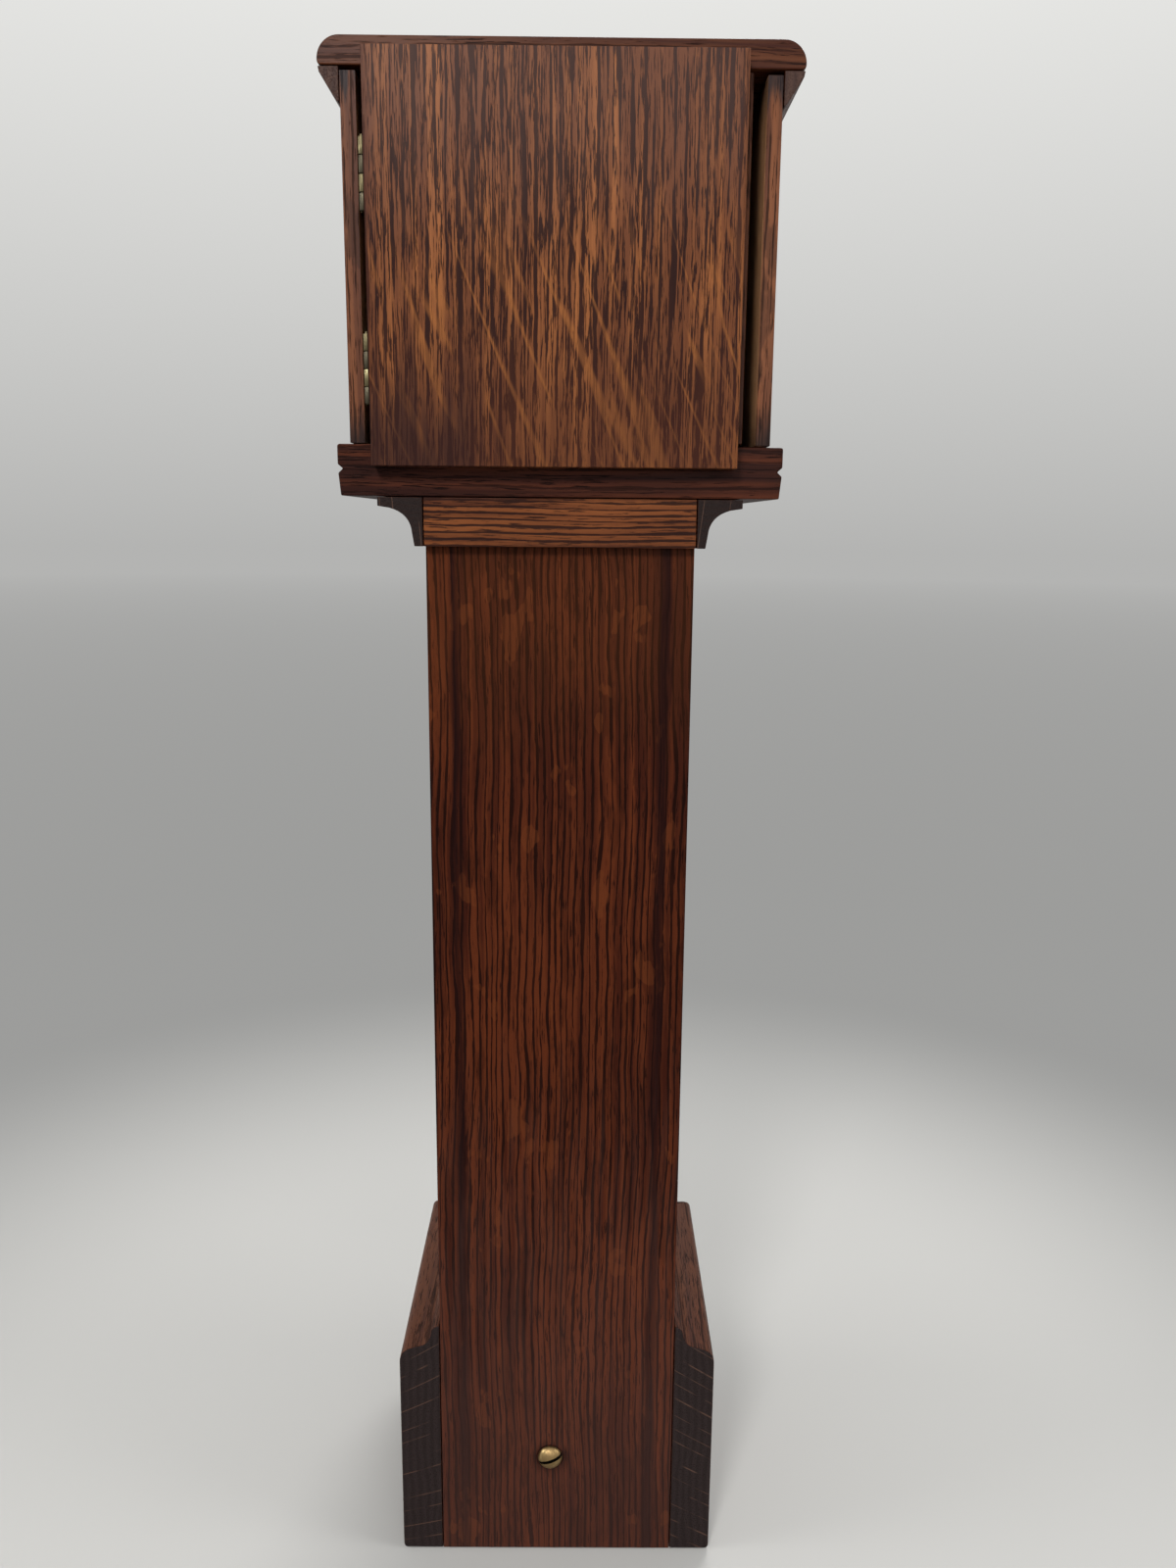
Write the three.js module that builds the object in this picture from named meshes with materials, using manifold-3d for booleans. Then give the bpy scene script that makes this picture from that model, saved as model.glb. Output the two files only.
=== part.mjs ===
// Miniature longcase clock in quarter-sawn oak, 463 mm tall, with a rear door and a wind-up movement.
// Millimetres, +Z up. The clock faces -Y, its back faces +Y, and it stands on z = 0.
import * as THREE from 'three';
import { mergeVertices } from 'three/addons/utils/BufferGeometryUtils.js';
import Module from 'manifold-3d';

const wasm = await Module();
wasm.setup();

// Gap left between neighbouring pieces that touch on the real clock.
const gap = 0.3;

// How far a cutting tool runs past the faces it cuts.
const over = 1;

// Flat sides that stand for a full circle, and pieces of a curve in an outline.
const sidesLarge = 24;
const sidesFine = 16;
const sidesMiddle = 12;
const sidesSmall = 8;
const curveFine = 12;
const curveMiddle = 6;
const curveSmall = 4;
const curveMoulding = 8;

// Trunk: four boards round an empty shaft, with a block let in at the bottom.
const trunkWidth = 76.2;
const trunkDepth = 80;
const trunkBoard = 6;
const baseBlockHeight = 52;
const panelSideMargin = 15.1;
const panelAbovePlinth = 25.4;
const panelBelowThroat = 27.4;
const panelRaise = 1.6;
const panelSeat = 2;
const panelBevel = 3.5;

// Plinth: three moulded boards mitred round the trunk. Above the flat face the moulding is a
// rounded shoulder, a sloping fillet and a cove; shoulder points are [in from the face, up from
// the face's top], the others are [out from the trunk, up from the face's top].
const plinthBoard = 13.1;
const plinthFaceTop = 71;
const plinthFootRadius = 1.6;
const plinthShoulderCrown = [0, 3.6];
const plinthShoulderEnd = [3, 5];
const plinthFilletEnd = [5.4, 6.4];
const plinthCoveBend = [3, 7.6];
const plinthCoveTop = [2.7, 11.2];
const plinthLipBend = [1.8, 13.2];
const plinthMouldingHeight = 13.6;

// Round-headed brass screw that holds the trunk back to the base block.
const baseScrewX = 2.2;
const baseScrewZ = 35.6;
const baseScrewHeadRadius = 4.05;
const baseScrewDome = 2.5;
const baseScrewShankRadius = 2;
const baseScrewLength = 22;
const baseScrewRim = 0.6;
const baseScrewSlot = 1.1;
const baseScrewSlotDepth = 1.5;
const baseScrewSlotTurn = 19;

// Shape of a screw: the point's share of the length, and a domed head as [share of radius, share of height].
const screwPointShare = 0.25;
const domeOutline = [[0.94, 0.36], [0.7, 0.73], [0.38, 0.94]];

// Throat: a flat rail at the back and cove mouldings on the other three sides.
// Points of the cove are [out from the trunk, up from the throat's bottom].
const throatBottom = 333.4;
const throatHeight = 13.4;
const throatProjection = 12.5;
const throatFoot = 2.4;
const throatFootTop = [3, 3.6];
const throatCoveBend = [3.4, 9];
const throatCoveEnd = [9.2, 10.5];
const throatEdge = 2.4;
const railThickness = 3.7;

// Hood base board with a V groove along its moulded edges.
const hoodBaseWidth = 123.1;
const hoodBaseOverhang = 23.4;
const hoodBaseThickness = 13.9;
const grooveDepth = 1.4;
const grooveWidth = 2.4;
const grooveBelowTop = 6.6;
const hoodBaseTaper = 0.7;
const grooveLipInset = 0.1;
const hoodBaseTopRadius = 0.8;

// Hood: sides, a glazed front frame, a top board and a splayed cornice.
const hoodSetIn = 3.7;
const hoodHeight = 95.1;
const hoodSideBoard = 4.1;
const hoodSideTopSlot = 1.3;
const topBoardOverhang = 5.85;
const topBoardThickness = 7.2;
const topBoardRadius = 5.8;
const topBoardLowRound = 1.2;
const corniceHeight = 8.4;
const corniceFoot = 0.5;
const corniceCrown = [0.5, 1.4];
const corniceTopInset = 0.2;
const frameDepth = 12.2;
const frameRailHeight = 7.55;
const glassThickness = 2;
const glassSetback = 3;
const glassHold = 2.5;

// Rear door, laid over the back edges of the base board and the top board.
const doorThickness = 6;
const doorNarrower = 16.2;
const doorLapBelow = 6;
const doorLapAbove = 2.9;
const innerPanelThickness = 3;
const innerPanelReach = 1.8;
const innerPanelInset = 9.5;
const innerPanelFit = 0.8;

// Brass butt hinges, 3/4 in long, with four knuckles each.
const hingeLength = 18.4;
const knuckleCount = 4;
const knuckleGap = 0.2;
const knuckleRadius = 0.95;
const hingePinRadius = 0.42;
const hingePinBore = 0.6;
const hingePinStand = 0.6;
const hingeAxisOut = 0.05;
const leafThickness = 0.6;
const leafWidth = 7;
const leafSetback = 1.2;
const fingerOverlap = 0.1;
const hingeBelowTop = [17.2, 66.3];
const leafScrewHeadRadius = 1.3;
const leafScrewHeadHeight = 0.5;
const leafScrewShankRadius = 0.55;
const leafScrewLength = 2.6;
const leafScrewSlot = 0.35;
const leafScrewSlotDepth = 0.22;
const leafScrewSpread = 10;

// Dial and hands.
const dialThickness = 1.5;
const dialHoleRadius = 3;
const hourHandLength = 23;
const minuteHandLength = 34;
const handThickness = 0.6;
const hourHandStand = 1.4;
const minuteHandStand = 3.4;
const hourHandHub = 3.4;
const minuteHandHub = 2.4;
const hourHandWidth = 1.6;
const minuteHandWidth = 1.3;

// A hand's blade widens between these shares of its length, to this many times its half width.
const handSwellStart = 0.62;
const handSwellPeak = 0.74;
const handSwell = 2.6;

// The hands stand at ten past ten: degrees clockwise from twelve, seen from the front.
const hourHandTurn = 305;
const minuteHandTurn = 60;

// Movement plates, pillars and the space for the motion work behind the dial.
const motionWorkStand = 1;
const plateThickness = 1.5;
const plateSpace = 16;
const motionSpace = 7;
const plateLeft = -33;
const plateRight = 29;
const plateLow = -38;
const plateHigh = 31;
const pillarInset = 3.2;
const pillarRadius = 1.7;
const pillarScrewRadius = 1;
const pillarScrewLength = 2.6;
const arborRadius = 0.7;
const pivotRadius = 0.45;
const pivotHole = 0.75;

// Places along the arbors, measured back from the front plate's inner face.
const barrelFront = 1.2;
const centrePinionY = 1;
const thirdWheelY = 5;
const escapeWheelY = 6;
const balanceY = 8.3;
const fourthWheelY = 9;
const centreWheelY = 12;

// Tooth counts and modules of the going train and the motion work.
const greatTeeth = 48;
const centrePinionLeaves = 8;
const greatModule = 0.75;
const centreTeeth = 48;
const thirdPinionLeaves = 6;
const centreModule = 0.5;
const thirdTeeth = 45;
const fourthPinionLeaves = 6;
const thirdModule = 0.45;
const fourthTeeth = 48;
const escapePinionLeaves = 6;
const fourthTipClearance = 0.755;
const escapeTeeth = 15;
const escapeRadius = 6;
const escapeDepth = 1.7;
const escapeLean = 0.75;
const escapeThickness = 0.8;
const escapeHub = 1.6;
const escapeRim = 0.9;
const cannonLeaves = 10;
const cannonLength = 2.6;
const minuteTeeth = 30;
const minutePinionLeaves = 8;
const hourTeeth = 32;
const motionModule = 0.5;
const wheelThickness = 1;
const pinionLength = 2.2;
const minuteWheelSet = 0.6;
const hourPipeWall = 0.7;

// Tooth forms: depths below and above the pitch circle in modules, half widths in shares of the pitch.
const wheelForm = { root: 1.25, tip: 1.05, rootHalf: 0.27, tipHalf: 0.08 };
const pinionForm = { root: 1.35, tip: 0.75, rootHalf: 0.17, tipHalf: 0.1 };

// Crossings of the wheels: hub radii, and the widths of rims and spokes.
const wheelSpokes = 3;
const wheelRim = 1.1;
const spokeWidth = 1.3;
const escapeSpokeWidth = 1;
const centreHub = 3.2;
const thirdHub = 2.4;
const fourthHub = 2.2;

// Directions of the arbors from one to the next, in degrees, seen from the front.
const barrelDirection = 235;
const thirdDirection = 40;
const fourthDirection = 150;
const escapeDirection = 170;
const leverDirection = 215;
const balanceDirection = 235;
const minuteWheelDirection = -30;

// Barrel, winding arbor, key and ratchet.
const barrelRadius = 13.5;
const barrelWall = 1;
const barrelHeight = 8;
const windingArborRadius = 2;
const windingSquare = 2.8;
const windingSquareLength = 7;
const ratchetTeeth = 18;
const ratchetRadius = 6;
const ratchetDepth = 1.1;
const ratchetLean = 0.12;
const ratchetThickness = 1.2;
const clickPivotDistance = 9.6;
const clickDirection = 25;
const clickArm = 5.2;
const clickTipWidth = 1.3;
const clickEyeRadius = 2;
const clickPostLength = 2.2;
const keyWall = 0.3;
const keyHubLength = 7;
const keyWingHeight = 8.5;
const keyWingDepth = 4.2;
const keyWingRoot = 2.5;
const keyWingThickness = 1.4;
const mainspringTurns = 4;
const mainspringStrip = 0.5;

// Set knob on the rear end of the centre arbor.
const centreArborRadius = 0.9;
const centrePipeRadius = 1.7;
const setKnobRadius = 5;
const setKnobThickness = 3;
const setKnobFlutes = 20;
const setKnobFluteDepth = 0.4;
const setKnobStand = 2;

// Lever and balance.
const leverDistance = 9;
const balanceDistance = 9.6;
const palletPinRadius = 0.35;
const palletPinAngle = 35;
const palletPinCircle = 6.9;
const palletArmDrop = 1.2;
const palletArmThickness = 0.8;
const palletArmHalf = 0.5;
const leverArborRadius = 0.5;
const leverHubRadius = 1.3;
const leverThickness = 0.8;
const leverHalf = 0.8;
const forkHalfWidth = 1.1;
const forkSlot = 0.9;
const forkSlotLength = 1.6;
const forkClearance = 0.6;
const balanceRadius = 7.5;
const balanceRim = 1.2;
const balanceHub = 1.8;
const balanceArms = 2;
const balanceArmWidth = 1.4;
const rollerRadius = 2.6;
const rollerStand = 0.5;
const rollerThickness = 0.6;
const impulsePinCircle = 2.1;
const impulsePinRadius = 0.3;
const colletRadius = 1.1;
const colletThickness = 1.2;
const hairspringTurns = 4;
const hairspringRadius = 5.6;
const hairspringStrip = 0.3;
const hairspringHeight = 0.8;
const hairspringStand = 1.7;
const springSteps = 12;
const studRadius = 0.5;
const studDirection = 120;

// Finishes.
const finish = (color, roughness, metalness) => ({ color, roughness, metalness });
const oakFace = finish(0x6b3a1e, 0.5, 0);
const oakDark = finish(0x3a1f14, 0.55, 0);
const oakLight = finish(0x8a4f26, 0.5, 0);
const oakDoor = finish(0x74431f, 0.45, 0);
const brass = finish(0xb08d45, 0.35, 1);
const steel = finish(0x8f9398, 0.3, 1);
const blueSteel = finish(0x20283c, 0.3, 1);
const cream = finish(0xe8dfc6, 0.5, 0);
const clearGlass = finish(0xdfe8e8, 0.05, 0);

// Depths, worked out from the back of the door forwards.
const totalDepth = doorThickness + gap + railThickness + gap + trunkDepth + hoodBaseOverhang
  - hoodSetIn + topBoardOverhang;
const doorBackY = totalDepth / 2;
const doorInnerY = doorBackY - doorThickness;
const hoodBackY = doorInnerY - gap;
const trunkBackY = hoodBackY - railThickness - gap;
const trunkFrontY = trunkBackY - trunkDepth;
const plinthFrontY = trunkFrontY - gap - plinthBoard;
const hoodBaseFrontY = trunkFrontY - hoodBaseOverhang;
const hoodFrontY = hoodBaseFrontY + hoodSetIn;
const topBoardFrontY = hoodFrontY - topBoardOverhang;
const frameBackY = hoodFrontY + frameDepth;
const glassFrontY = hoodFrontY + glassSetback;
const dialFrontY = frameBackY + gap;
const dialBackY = dialFrontY + dialThickness;
const frontPlateY = dialBackY + motionSpace;
const plateInnerY = frontPlateY + plateThickness;

// Heights, from the floor up.
const plinthTop = plinthFaceTop + plinthMouldingHeight;
const throatTop = throatBottom + throatHeight;
const hoodBaseBottom = throatTop + gap;
const hoodBaseTop = hoodBaseBottom + hoodBaseThickness;
const hoodTop = hoodBaseTop + hoodHeight;
const topBoardTop = hoodTop + topBoardThickness;
const dialCentreZ = (hoodBaseTop + hoodTop) / 2;

// Widths and heights that follow from those of the board or the hood they sit on.
const hoodWidth = hoodBaseWidth - 2 * hoodSetIn;
const hoodInnerHalf = hoodWidth / 2 - hoodSideBoard;
const doorWidth = hoodWidth - doorNarrower;
const dialOpening = hoodHeight - 2 * frameRailHeight;

// Turns a closed geometry into a solid whose faces point outwards.
function solid(geometry) {
  geometry.deleteAttribute('normal');
  geometry.deleteAttribute('uv');
  const merged = mergeVertices(geometry, 1e-4);
  const vertProperties = Float32Array.from(merged.attributes.position.array);
  const triVerts = Uint32Array.from(merged.index.array);
  const body = new wasm.Manifold(new wasm.Mesh({ numProp: 3, vertProperties, triVerts }));
  if (body.volume() > 0) return body;
  for (let i = 0; i < triVerts.length; i += 3) {
    [triVerts[i], triVerts[i + 1]] = [triVerts[i + 1], triVerts[i]];
  }
  return new wasm.Manifold(new wasm.Mesh({ numProp: 3, vertProperties, triVerts }));
}

function box(x0, x1, y0, y1, z0, z1) {
  const geometry = new THREE.BoxGeometry(x1 - x0, y1 - y0, z1 - z0);
  geometry.translate((x0 + x1) / 2, (y0 + y1) / 2, (z0 + z1) / 2);
  return solid(geometry);
}

function shapeOf(points) {
  return new THREE.Shape(points.map(([a, b]) => new THREE.Vector2(a, b)));
}

// An outline drawn in x and z, pushed along y.
function prismY(shape, y0, y1, curveSegments = curveMiddle) {
  const geometry = new THREE.ExtrudeGeometry(shape, { depth: y1 - y0, bevelEnabled: false, curveSegments });
  geometry.rotateX(Math.PI / 2);
  geometry.translate(0, y1, 0);
  return solid(geometry);
}

// An outline drawn in y and z, pushed along x.
function prismX(shape, x0, x1, curveSegments = curveMiddle) {
  const geometry = new THREE.ExtrudeGeometry(shape, { depth: x1 - x0, bevelEnabled: false, curveSegments });
  const axes = [new THREE.Vector3(0, 1, 0), new THREE.Vector3(0, 0, 1), new THREE.Vector3(1, 0, 0)];
  geometry.applyMatrix4(new THREE.Matrix4().makeBasis(...axes));
  geometry.translate(x0, 0, 0);
  return solid(geometry);
}

// An outline drawn in x and y, pushed along z.
function prismZ(shape, z0, z1) {
  const geometry = new THREE.ExtrudeGeometry(shape, { depth: z1 - z0, bevelEnabled: false });
  geometry.translate(0, 0, z0);
  return solid(geometry);
}

function rodY(radius, y0, y1, x = 0, z = 0, sides = sidesMiddle) {
  const geometry = new THREE.CylinderGeometry(radius, radius, y1 - y0, sides);
  geometry.translate(x, (y0 + y1) / 2, z);
  return solid(geometry);
}

function rodZ(radius, z0, z1, x = 0, y = 0, sides = sidesMiddle) {
  const geometry = new THREE.CylinderGeometry(radius, radius, z1 - z0, sides);
  geometry.rotateX(Math.PI / 2);
  geometry.translate(x, y, (z0 + z1) / 2);
  return solid(geometry);
}

// A turned shape about the y axis, from (radius, y) points.
function turned(points, sides = sidesFine) {
  return solid(new THREE.LatheGeometry(points.map(([r, y]) => new THREE.Vector2(r, y)), sides));
}

function join(first, ...rest) {
  return rest.reduce((body, next) => body.add(next), first);
}

function cut(body, ...tools) {
  return tools.reduce((rest, tool) => rest.subtract(tool), body);
}

const clock = new THREE.Group();

// Names a solid, gives it its finish and puts it in its group.
function piece(name, body, look, group = clock, position = [0, 0, 0]) {
  const raw = body.getMesh();
  const geometry = new THREE.BufferGeometry();
  geometry.setAttribute('position', new THREE.BufferAttribute(raw.vertProperties, 3));
  geometry.setIndex(new THREE.BufferAttribute(raw.triVerts, 1));
  geometry.computeVertexNormals();
  const mesh = new THREE.Mesh(geometry, new THREE.MeshStandardMaterial({ ...look, flatShading: true }));
  mesh.name = name;
  mesh.position.set(...position);
  group.add(mesh);
  return mesh;
}

// A half space on one side of an upright plane at 45 degrees, for mitres.
// The plane runs through (x, y) and the solid kept out lies towards (sideX, sideY).
function mitreTool(x, y, sideX, sideY, z0, z1) {
  const reach = topBoardTop;
  const along = [sideY, -sideX];
  const corners = [
    [x + along[0] * reach, y + along[1] * reach],
    [x - along[0] * reach, y - along[1] * reach],
    [x - along[0] * reach + sideX * reach, y - along[1] * reach + sideY * reach],
    [x + along[0] * reach + sideX * reach, y + along[1] * reach + sideY * reach],
  ];
  return prismZ(shapeOf(corners), z0, z1);
}

// A wood screw pointing along -y, with its head's rim at y = 0: countersunk, or flat below and domed above.
function woodScrew(sizes) {
  const { headRadius, headHeight, dome, shankRadius, length, slotWidth, slotDepth, slotTurn, sides } = sizes;
  const crown = dome > 0 ? domeOutline.map(([r, h]) => [r * headRadius, h * dome]) : [];
  const screw = turned([
    [0, -length],
    [shankRadius, length * screwPointShare - length],
    [shankRadius, -headHeight],
    [headRadius, 0],
    ...crown,
    [0, dome],
  ], sides);
  const slot = new THREE.BoxGeometry(headRadius * 2 + over, slotDepth * 2, slotWidth);
  slot.rotateY(THREE.MathUtils.degToRad(slotTurn));
  slot.translate(0, dome, 0);
  return cut(screw, solid(slot));
}

// The clearance hole that such a screw sits in; seat is the room under a flat head, rim the room round it.
function screwHole({ headRadius, headHeight, shankRadius, length }, seat, rim, mouth) {
  return turned([
    [0, -length - gap],
    [shankRadius + gap, -length - gap],
    [shankRadius + gap, -headHeight - gap],
    [headRadius + rim, -seat],
    [headRadius + rim, mouth],
    [0, mouth],
  ], sidesMiddle);
}

// Trunk
const halfTrunk = trunkWidth / 2;
const baseScrew = {
  headRadius: baseScrewHeadRadius,
  headHeight: 0,
  dome: baseScrewDome,
  shankRadius: baseScrewShankRadius,
  length: baseScrewLength,
  slotWidth: baseScrewSlot,
  slotDepth: baseScrewSlotDepth,
  slotTurn: baseScrewSlotTurn,
  sides: sidesFine,
};
const baseScrewHole = screwHole(baseScrew, gap, baseScrewRim, over)
  .translate(baseScrewX, trunkBackY, baseScrewZ);

piece('trunk_back', cut(
  box(-halfTrunk, halfTrunk, trunkBackY - trunkBoard, trunkBackY, 0, throatTop),
  baseScrewHole,
), oakFace);

const sideBackY = trunkBackY - trunkBoard - gap;
const sideFrontY = trunkFrontY + trunkBoard + gap;
for (const [side, sign] of [['left', 1], ['right', -1]]) {
  const inner = sign * (halfTrunk - trunkBoard);
  const outer = sign * halfTrunk;
  const x0 = Math.min(inner, outer);
  const x1 = Math.max(inner, outer);
  piece(`trunk_side_${side}`, box(x0, x1, sideFrontY, sideBackY, 0, throatTop), oakFace);
}

function raisedPanel() {
  const halfWidth = halfTrunk - panelSideMargin - panelBevel;
  const low = plinthTop + panelAbovePlinth + panelBevel;
  const high = throatBottom - panelBelowThroat - panelBevel;
  const outline = shapeOf([[-halfWidth, low], [halfWidth, low], [halfWidth, high], [-halfWidth, high]]);
  const geometry = new THREE.ExtrudeGeometry(outline, {
    depth: panelSeat, bevelEnabled: true, bevelThickness: panelRaise, bevelSize: panelBevel, bevelSegments: 1,
  });
  geometry.rotateX(Math.PI / 2);
  geometry.translate(0, trunkFrontY + panelSeat, 0);
  return solid(geometry);
}

const trunkFrontBoard = box(-halfTrunk, halfTrunk, trunkFrontY, trunkFrontY + trunkBoard, 0, throatTop);
piece('trunk_front', join(trunkFrontBoard, raisedPanel()), oakFace);

const blockHalf = halfTrunk - trunkBoard - gap;
piece('base_block', cut(
  box(-blockHalf, blockHalf, sideFrontY, sideBackY, 0, baseBlockHeight),
  baseScrewHole,
), oakLight);
piece('base_screw', woodScrew(baseScrew), brass, clock, [baseScrewX, trunkBackY, baseScrewZ]);

// Plinth boards: a rounded outer shoulder, a fillet and a cove up to the trunk.
function plinthProfile(inner) {
  const outer = inner + plinthBoard;
  const shape = new THREE.Shape();
  const fromFace = ([across, up]) => [outer - across, plinthFaceTop + up];
  const fromTrunk = ([across, up]) => [inner + across, plinthFaceTop + up];
  shape.moveTo(inner, 0);
  shape.lineTo(outer - plinthFootRadius, 0);
  shape.quadraticCurveTo(outer, 0, outer, plinthFootRadius);
  shape.lineTo(outer, plinthFaceTop);
  shape.quadraticCurveTo(...fromFace(plinthShoulderCrown), ...fromFace(plinthShoulderEnd));
  shape.lineTo(...fromTrunk(plinthFilletEnd));
  shape.quadraticCurveTo(...fromTrunk(plinthCoveBend), ...fromTrunk(plinthCoveTop));
  shape.quadraticCurveTo(...fromTrunk(plinthLipBend), inner, plinthTop);
  return shape;
}

const plinthInner = halfTrunk + gap;
const plinthCornerX = plinthInner + plinthBoard;
const plinthLeft = cut(
  prismY(plinthProfile(plinthInner), plinthFrontY, trunkBackY, curveMoulding),
  mitreTool(plinthCornerX - gap / 2, plinthFrontY + gap / 2, -1, -1, -over, plinthTop + over),
);
piece('plinth_side_left', plinthLeft, oakDark);
piece('plinth_side_right', plinthLeft.mirror([1, 0, 0]), oakDark);

// The same moulding run along the front: what points out of the side there points to the front here.
function frontSection(profile, curves, offset) {
  return shapeOf(profile.getPoints(curves).map((point) => [offset - point.x, point.y]));
}

const plinthFrontSection = frontSection(
  plinthProfile(plinthInner), curveMoulding, trunkFrontY - gap + plinthInner,
);
piece('plinth_front', cut(
  prismX(plinthFrontSection, -plinthCornerX, plinthCornerX),
  mitreTool(plinthCornerX - gap / 2, plinthFrontY - gap / 2, 1, 1, -over, plinthTop + over),
  mitreTool(-plinthCornerX + gap / 2, plinthFrontY - gap / 2, -1, 1, -over, plinthTop + over),
), oakDark);

// Throat: cove mouldings under the hood, and the rail across the back.
function throatProfile(inner) {
  const outer = inner + throatProjection;
  const fromFoot = ([across, up]) => [inner + across, throatBottom + up];
  const shape = new THREE.Shape();
  shape.moveTo(inner, throatBottom);
  shape.lineTo(inner + throatFoot, throatBottom);
  shape.lineTo(...fromFoot(throatFootTop));
  shape.quadraticCurveTo(...fromFoot(throatCoveBend), ...fromFoot(throatCoveEnd));
  shape.lineTo(outer, throatTop - throatEdge);
  shape.lineTo(outer, throatTop);
  shape.lineTo(inner, throatTop);
  return shape;
}

const throatInner = halfTrunk + gap;
const throatCornerX = throatInner + throatProjection;
const throatFrontY = trunkFrontY - gap - throatProjection;
const throatLeft = cut(
  prismY(throatProfile(throatInner), throatFrontY, hoodBackY, curveMoulding),
  mitreTool(throatCornerX - gap / 2, throatFrontY + gap / 2, -1, -1, throatBottom - over, throatTop + over),
);
piece('throat_moulding_left', throatLeft, oakDark);
piece('throat_moulding_right', throatLeft.mirror([1, 0, 0]), oakDark);

const throatFrontSection = frontSection(
  throatProfile(throatInner), curveMoulding, trunkFrontY - gap + throatInner,
);
piece('throat_moulding_front', cut(
  prismX(throatFrontSection, -throatCornerX, throatCornerX),
  mitreTool(throatCornerX - gap / 2, throatFrontY - gap / 2, 1, 1, throatBottom - over, throatTop + over),
  mitreTool(-throatCornerX + gap / 2, throatFrontY - gap / 2, -1, 1, throatBottom - over, throatTop + over),
), oakDark);
piece('throat_rail_back', box(
  -halfTrunk, halfTrunk, trunkBackY + gap, hoodBackY, throatBottom, throatTop,
), oakLight);

// Hood base board
const halfBase = hoodBaseWidth / 2;
const grooveZ = hoodBaseTop - grooveBelowTop;

function hoodBaseSection() {
  const shape = new THREE.Shape();
  shape.moveTo(-halfBase + hoodBaseTaper, hoodBaseBottom);
  shape.lineTo(halfBase - hoodBaseTaper, hoodBaseBottom);
  shape.lineTo(halfBase - grooveLipInset, grooveZ - grooveWidth / 2);
  shape.lineTo(halfBase - grooveDepth, grooveZ);
  shape.lineTo(halfBase, grooveZ + grooveWidth / 2);
  shape.lineTo(halfBase, hoodBaseTop - hoodBaseTopRadius);
  shape.quadraticCurveTo(halfBase, hoodBaseTop, halfBase - hoodBaseTopRadius, hoodBaseTop);
  shape.lineTo(-halfBase + hoodBaseTopRadius, hoodBaseTop);
  shape.quadraticCurveTo(-halfBase, hoodBaseTop, -halfBase, hoodBaseTop - hoodBaseTopRadius);
  shape.lineTo(-halfBase, grooveZ + grooveWidth / 2);
  shape.lineTo(-halfBase + grooveDepth, grooveZ);
  shape.lineTo(-halfBase + grooveLipInset, grooveZ - grooveWidth / 2);
  return shape;
}

const grooveFlare = grooveWidth / 2 * (grooveDepth + over) / grooveDepth;
const frontGroove = prismX(shapeOf([
  [hoodBaseFrontY - over, grooveZ - grooveFlare],
  [hoodBaseFrontY + grooveDepth, grooveZ],
  [hoodBaseFrontY - over, grooveZ + grooveFlare],
]), -halfBase - over, halfBase + over);
const hoodBaseBody = prismY(hoodBaseSection(), hoodBaseFrontY, hoodBackY, curveMoulding);
piece('hood_base_board', cut(hoodBaseBody, frontGroove), oakDark);

// Hood sides and front frame
const hoodFloor = hoodBaseTop + gap;
const halfHood = hoodWidth / 2;
const sideTop = hoodTop - hoodSideTopSlot;
const frameTop = hoodTop - gap;
const halfOpening = dialOpening / 2;
const openingLow = dialCentreZ - halfOpening;
const openingHigh = dialCentreZ + halfOpening;

// The groove that holds the glass, cut right through the four frame members.
const glassHalf = halfOpening + glassHold;
const glassGroove = box(
  -glassHalf - gap, glassHalf + gap,
  glassFrontY - gap, glassFrontY + glassThickness + gap,
  dialCentreZ - glassHalf - gap, dialCentreZ + glassHalf + gap,
);

// Hinges: the axis stands in the gap between the hood side and the door's edge.
const hingeX = hoodInnerHalf - gap - knuckleRadius;
const hingeY = doorInnerY + hingeAxisOut;
const doorEdgeX = hingeX - knuckleRadius - gap;
const knuckleLength = hingeLength / knuckleCount;
const leafScrew = {
  headRadius: leafScrewHeadRadius,
  headHeight: leafScrewHeadHeight,
  dome: 0,
  shankRadius: leafScrewShankRadius,
  length: leafScrewLength,
  slotWidth: leafScrewSlot,
  slotDepth: leafScrewSlotDepth,
  slotTurn: 0,
  sides: sidesMiddle,
};
const leafScrewHole = screwHole(leafScrew, 0, gap, over);
const leafMiddle = leafSetback + (leafWidth - leafSetback) / 2;

const hingeTopZ = hingeBelowTop.map((drop) => hoodTop - drop);

function leafScrewHeights(top) {
  const middle = top - hingeLength / 2;
  return [middle + leafScrewSpread / 2, middle - leafScrewSpread / 2];
}

// The case leaf lies on the hood side, the door leaf on the inside of the door.
const caseLeafX = hingeX + knuckleRadius - leafThickness;
const doorLeafY = hingeY - knuckleRadius;
const leafScrewZ = hingeTopZ.flatMap(leafScrewHeights);
const caseScrewPlaces = leafScrewZ.map((z) => [hingeY - leafMiddle, z]);
const doorScrewPlaces = leafScrewZ.map((z) => [hingeX - leafMiddle, z]);
const caseScrewTurn = (body) => body.rotate([0, 0, 90]);
const doorScrewTurn = (body) => body.rotate([0, 0, 180]);
const caseScrewHoles = caseScrewPlaces.map(([y, z]) => (
  caseScrewTurn(leafScrewHole).translate(caseLeafX, y, z)
));
const doorScrewHoles = doorScrewPlaces.map(([x, z]) => (
  doorScrewTurn(leafScrewHole).translate(x, doorLeafY, z)
));

const hoodSideFrontY = frameBackY + gap;
const hoodSideLeft = box(hoodInnerHalf, halfHood, hoodSideFrontY, hoodBackY, hoodFloor, sideTop);
piece('hood_side_left', cut(hoodSideLeft, ...caseScrewHoles), oakFace);
piece('hood_side_right', hoodSideLeft.mirror([1, 0, 0]), oakFace);

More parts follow.
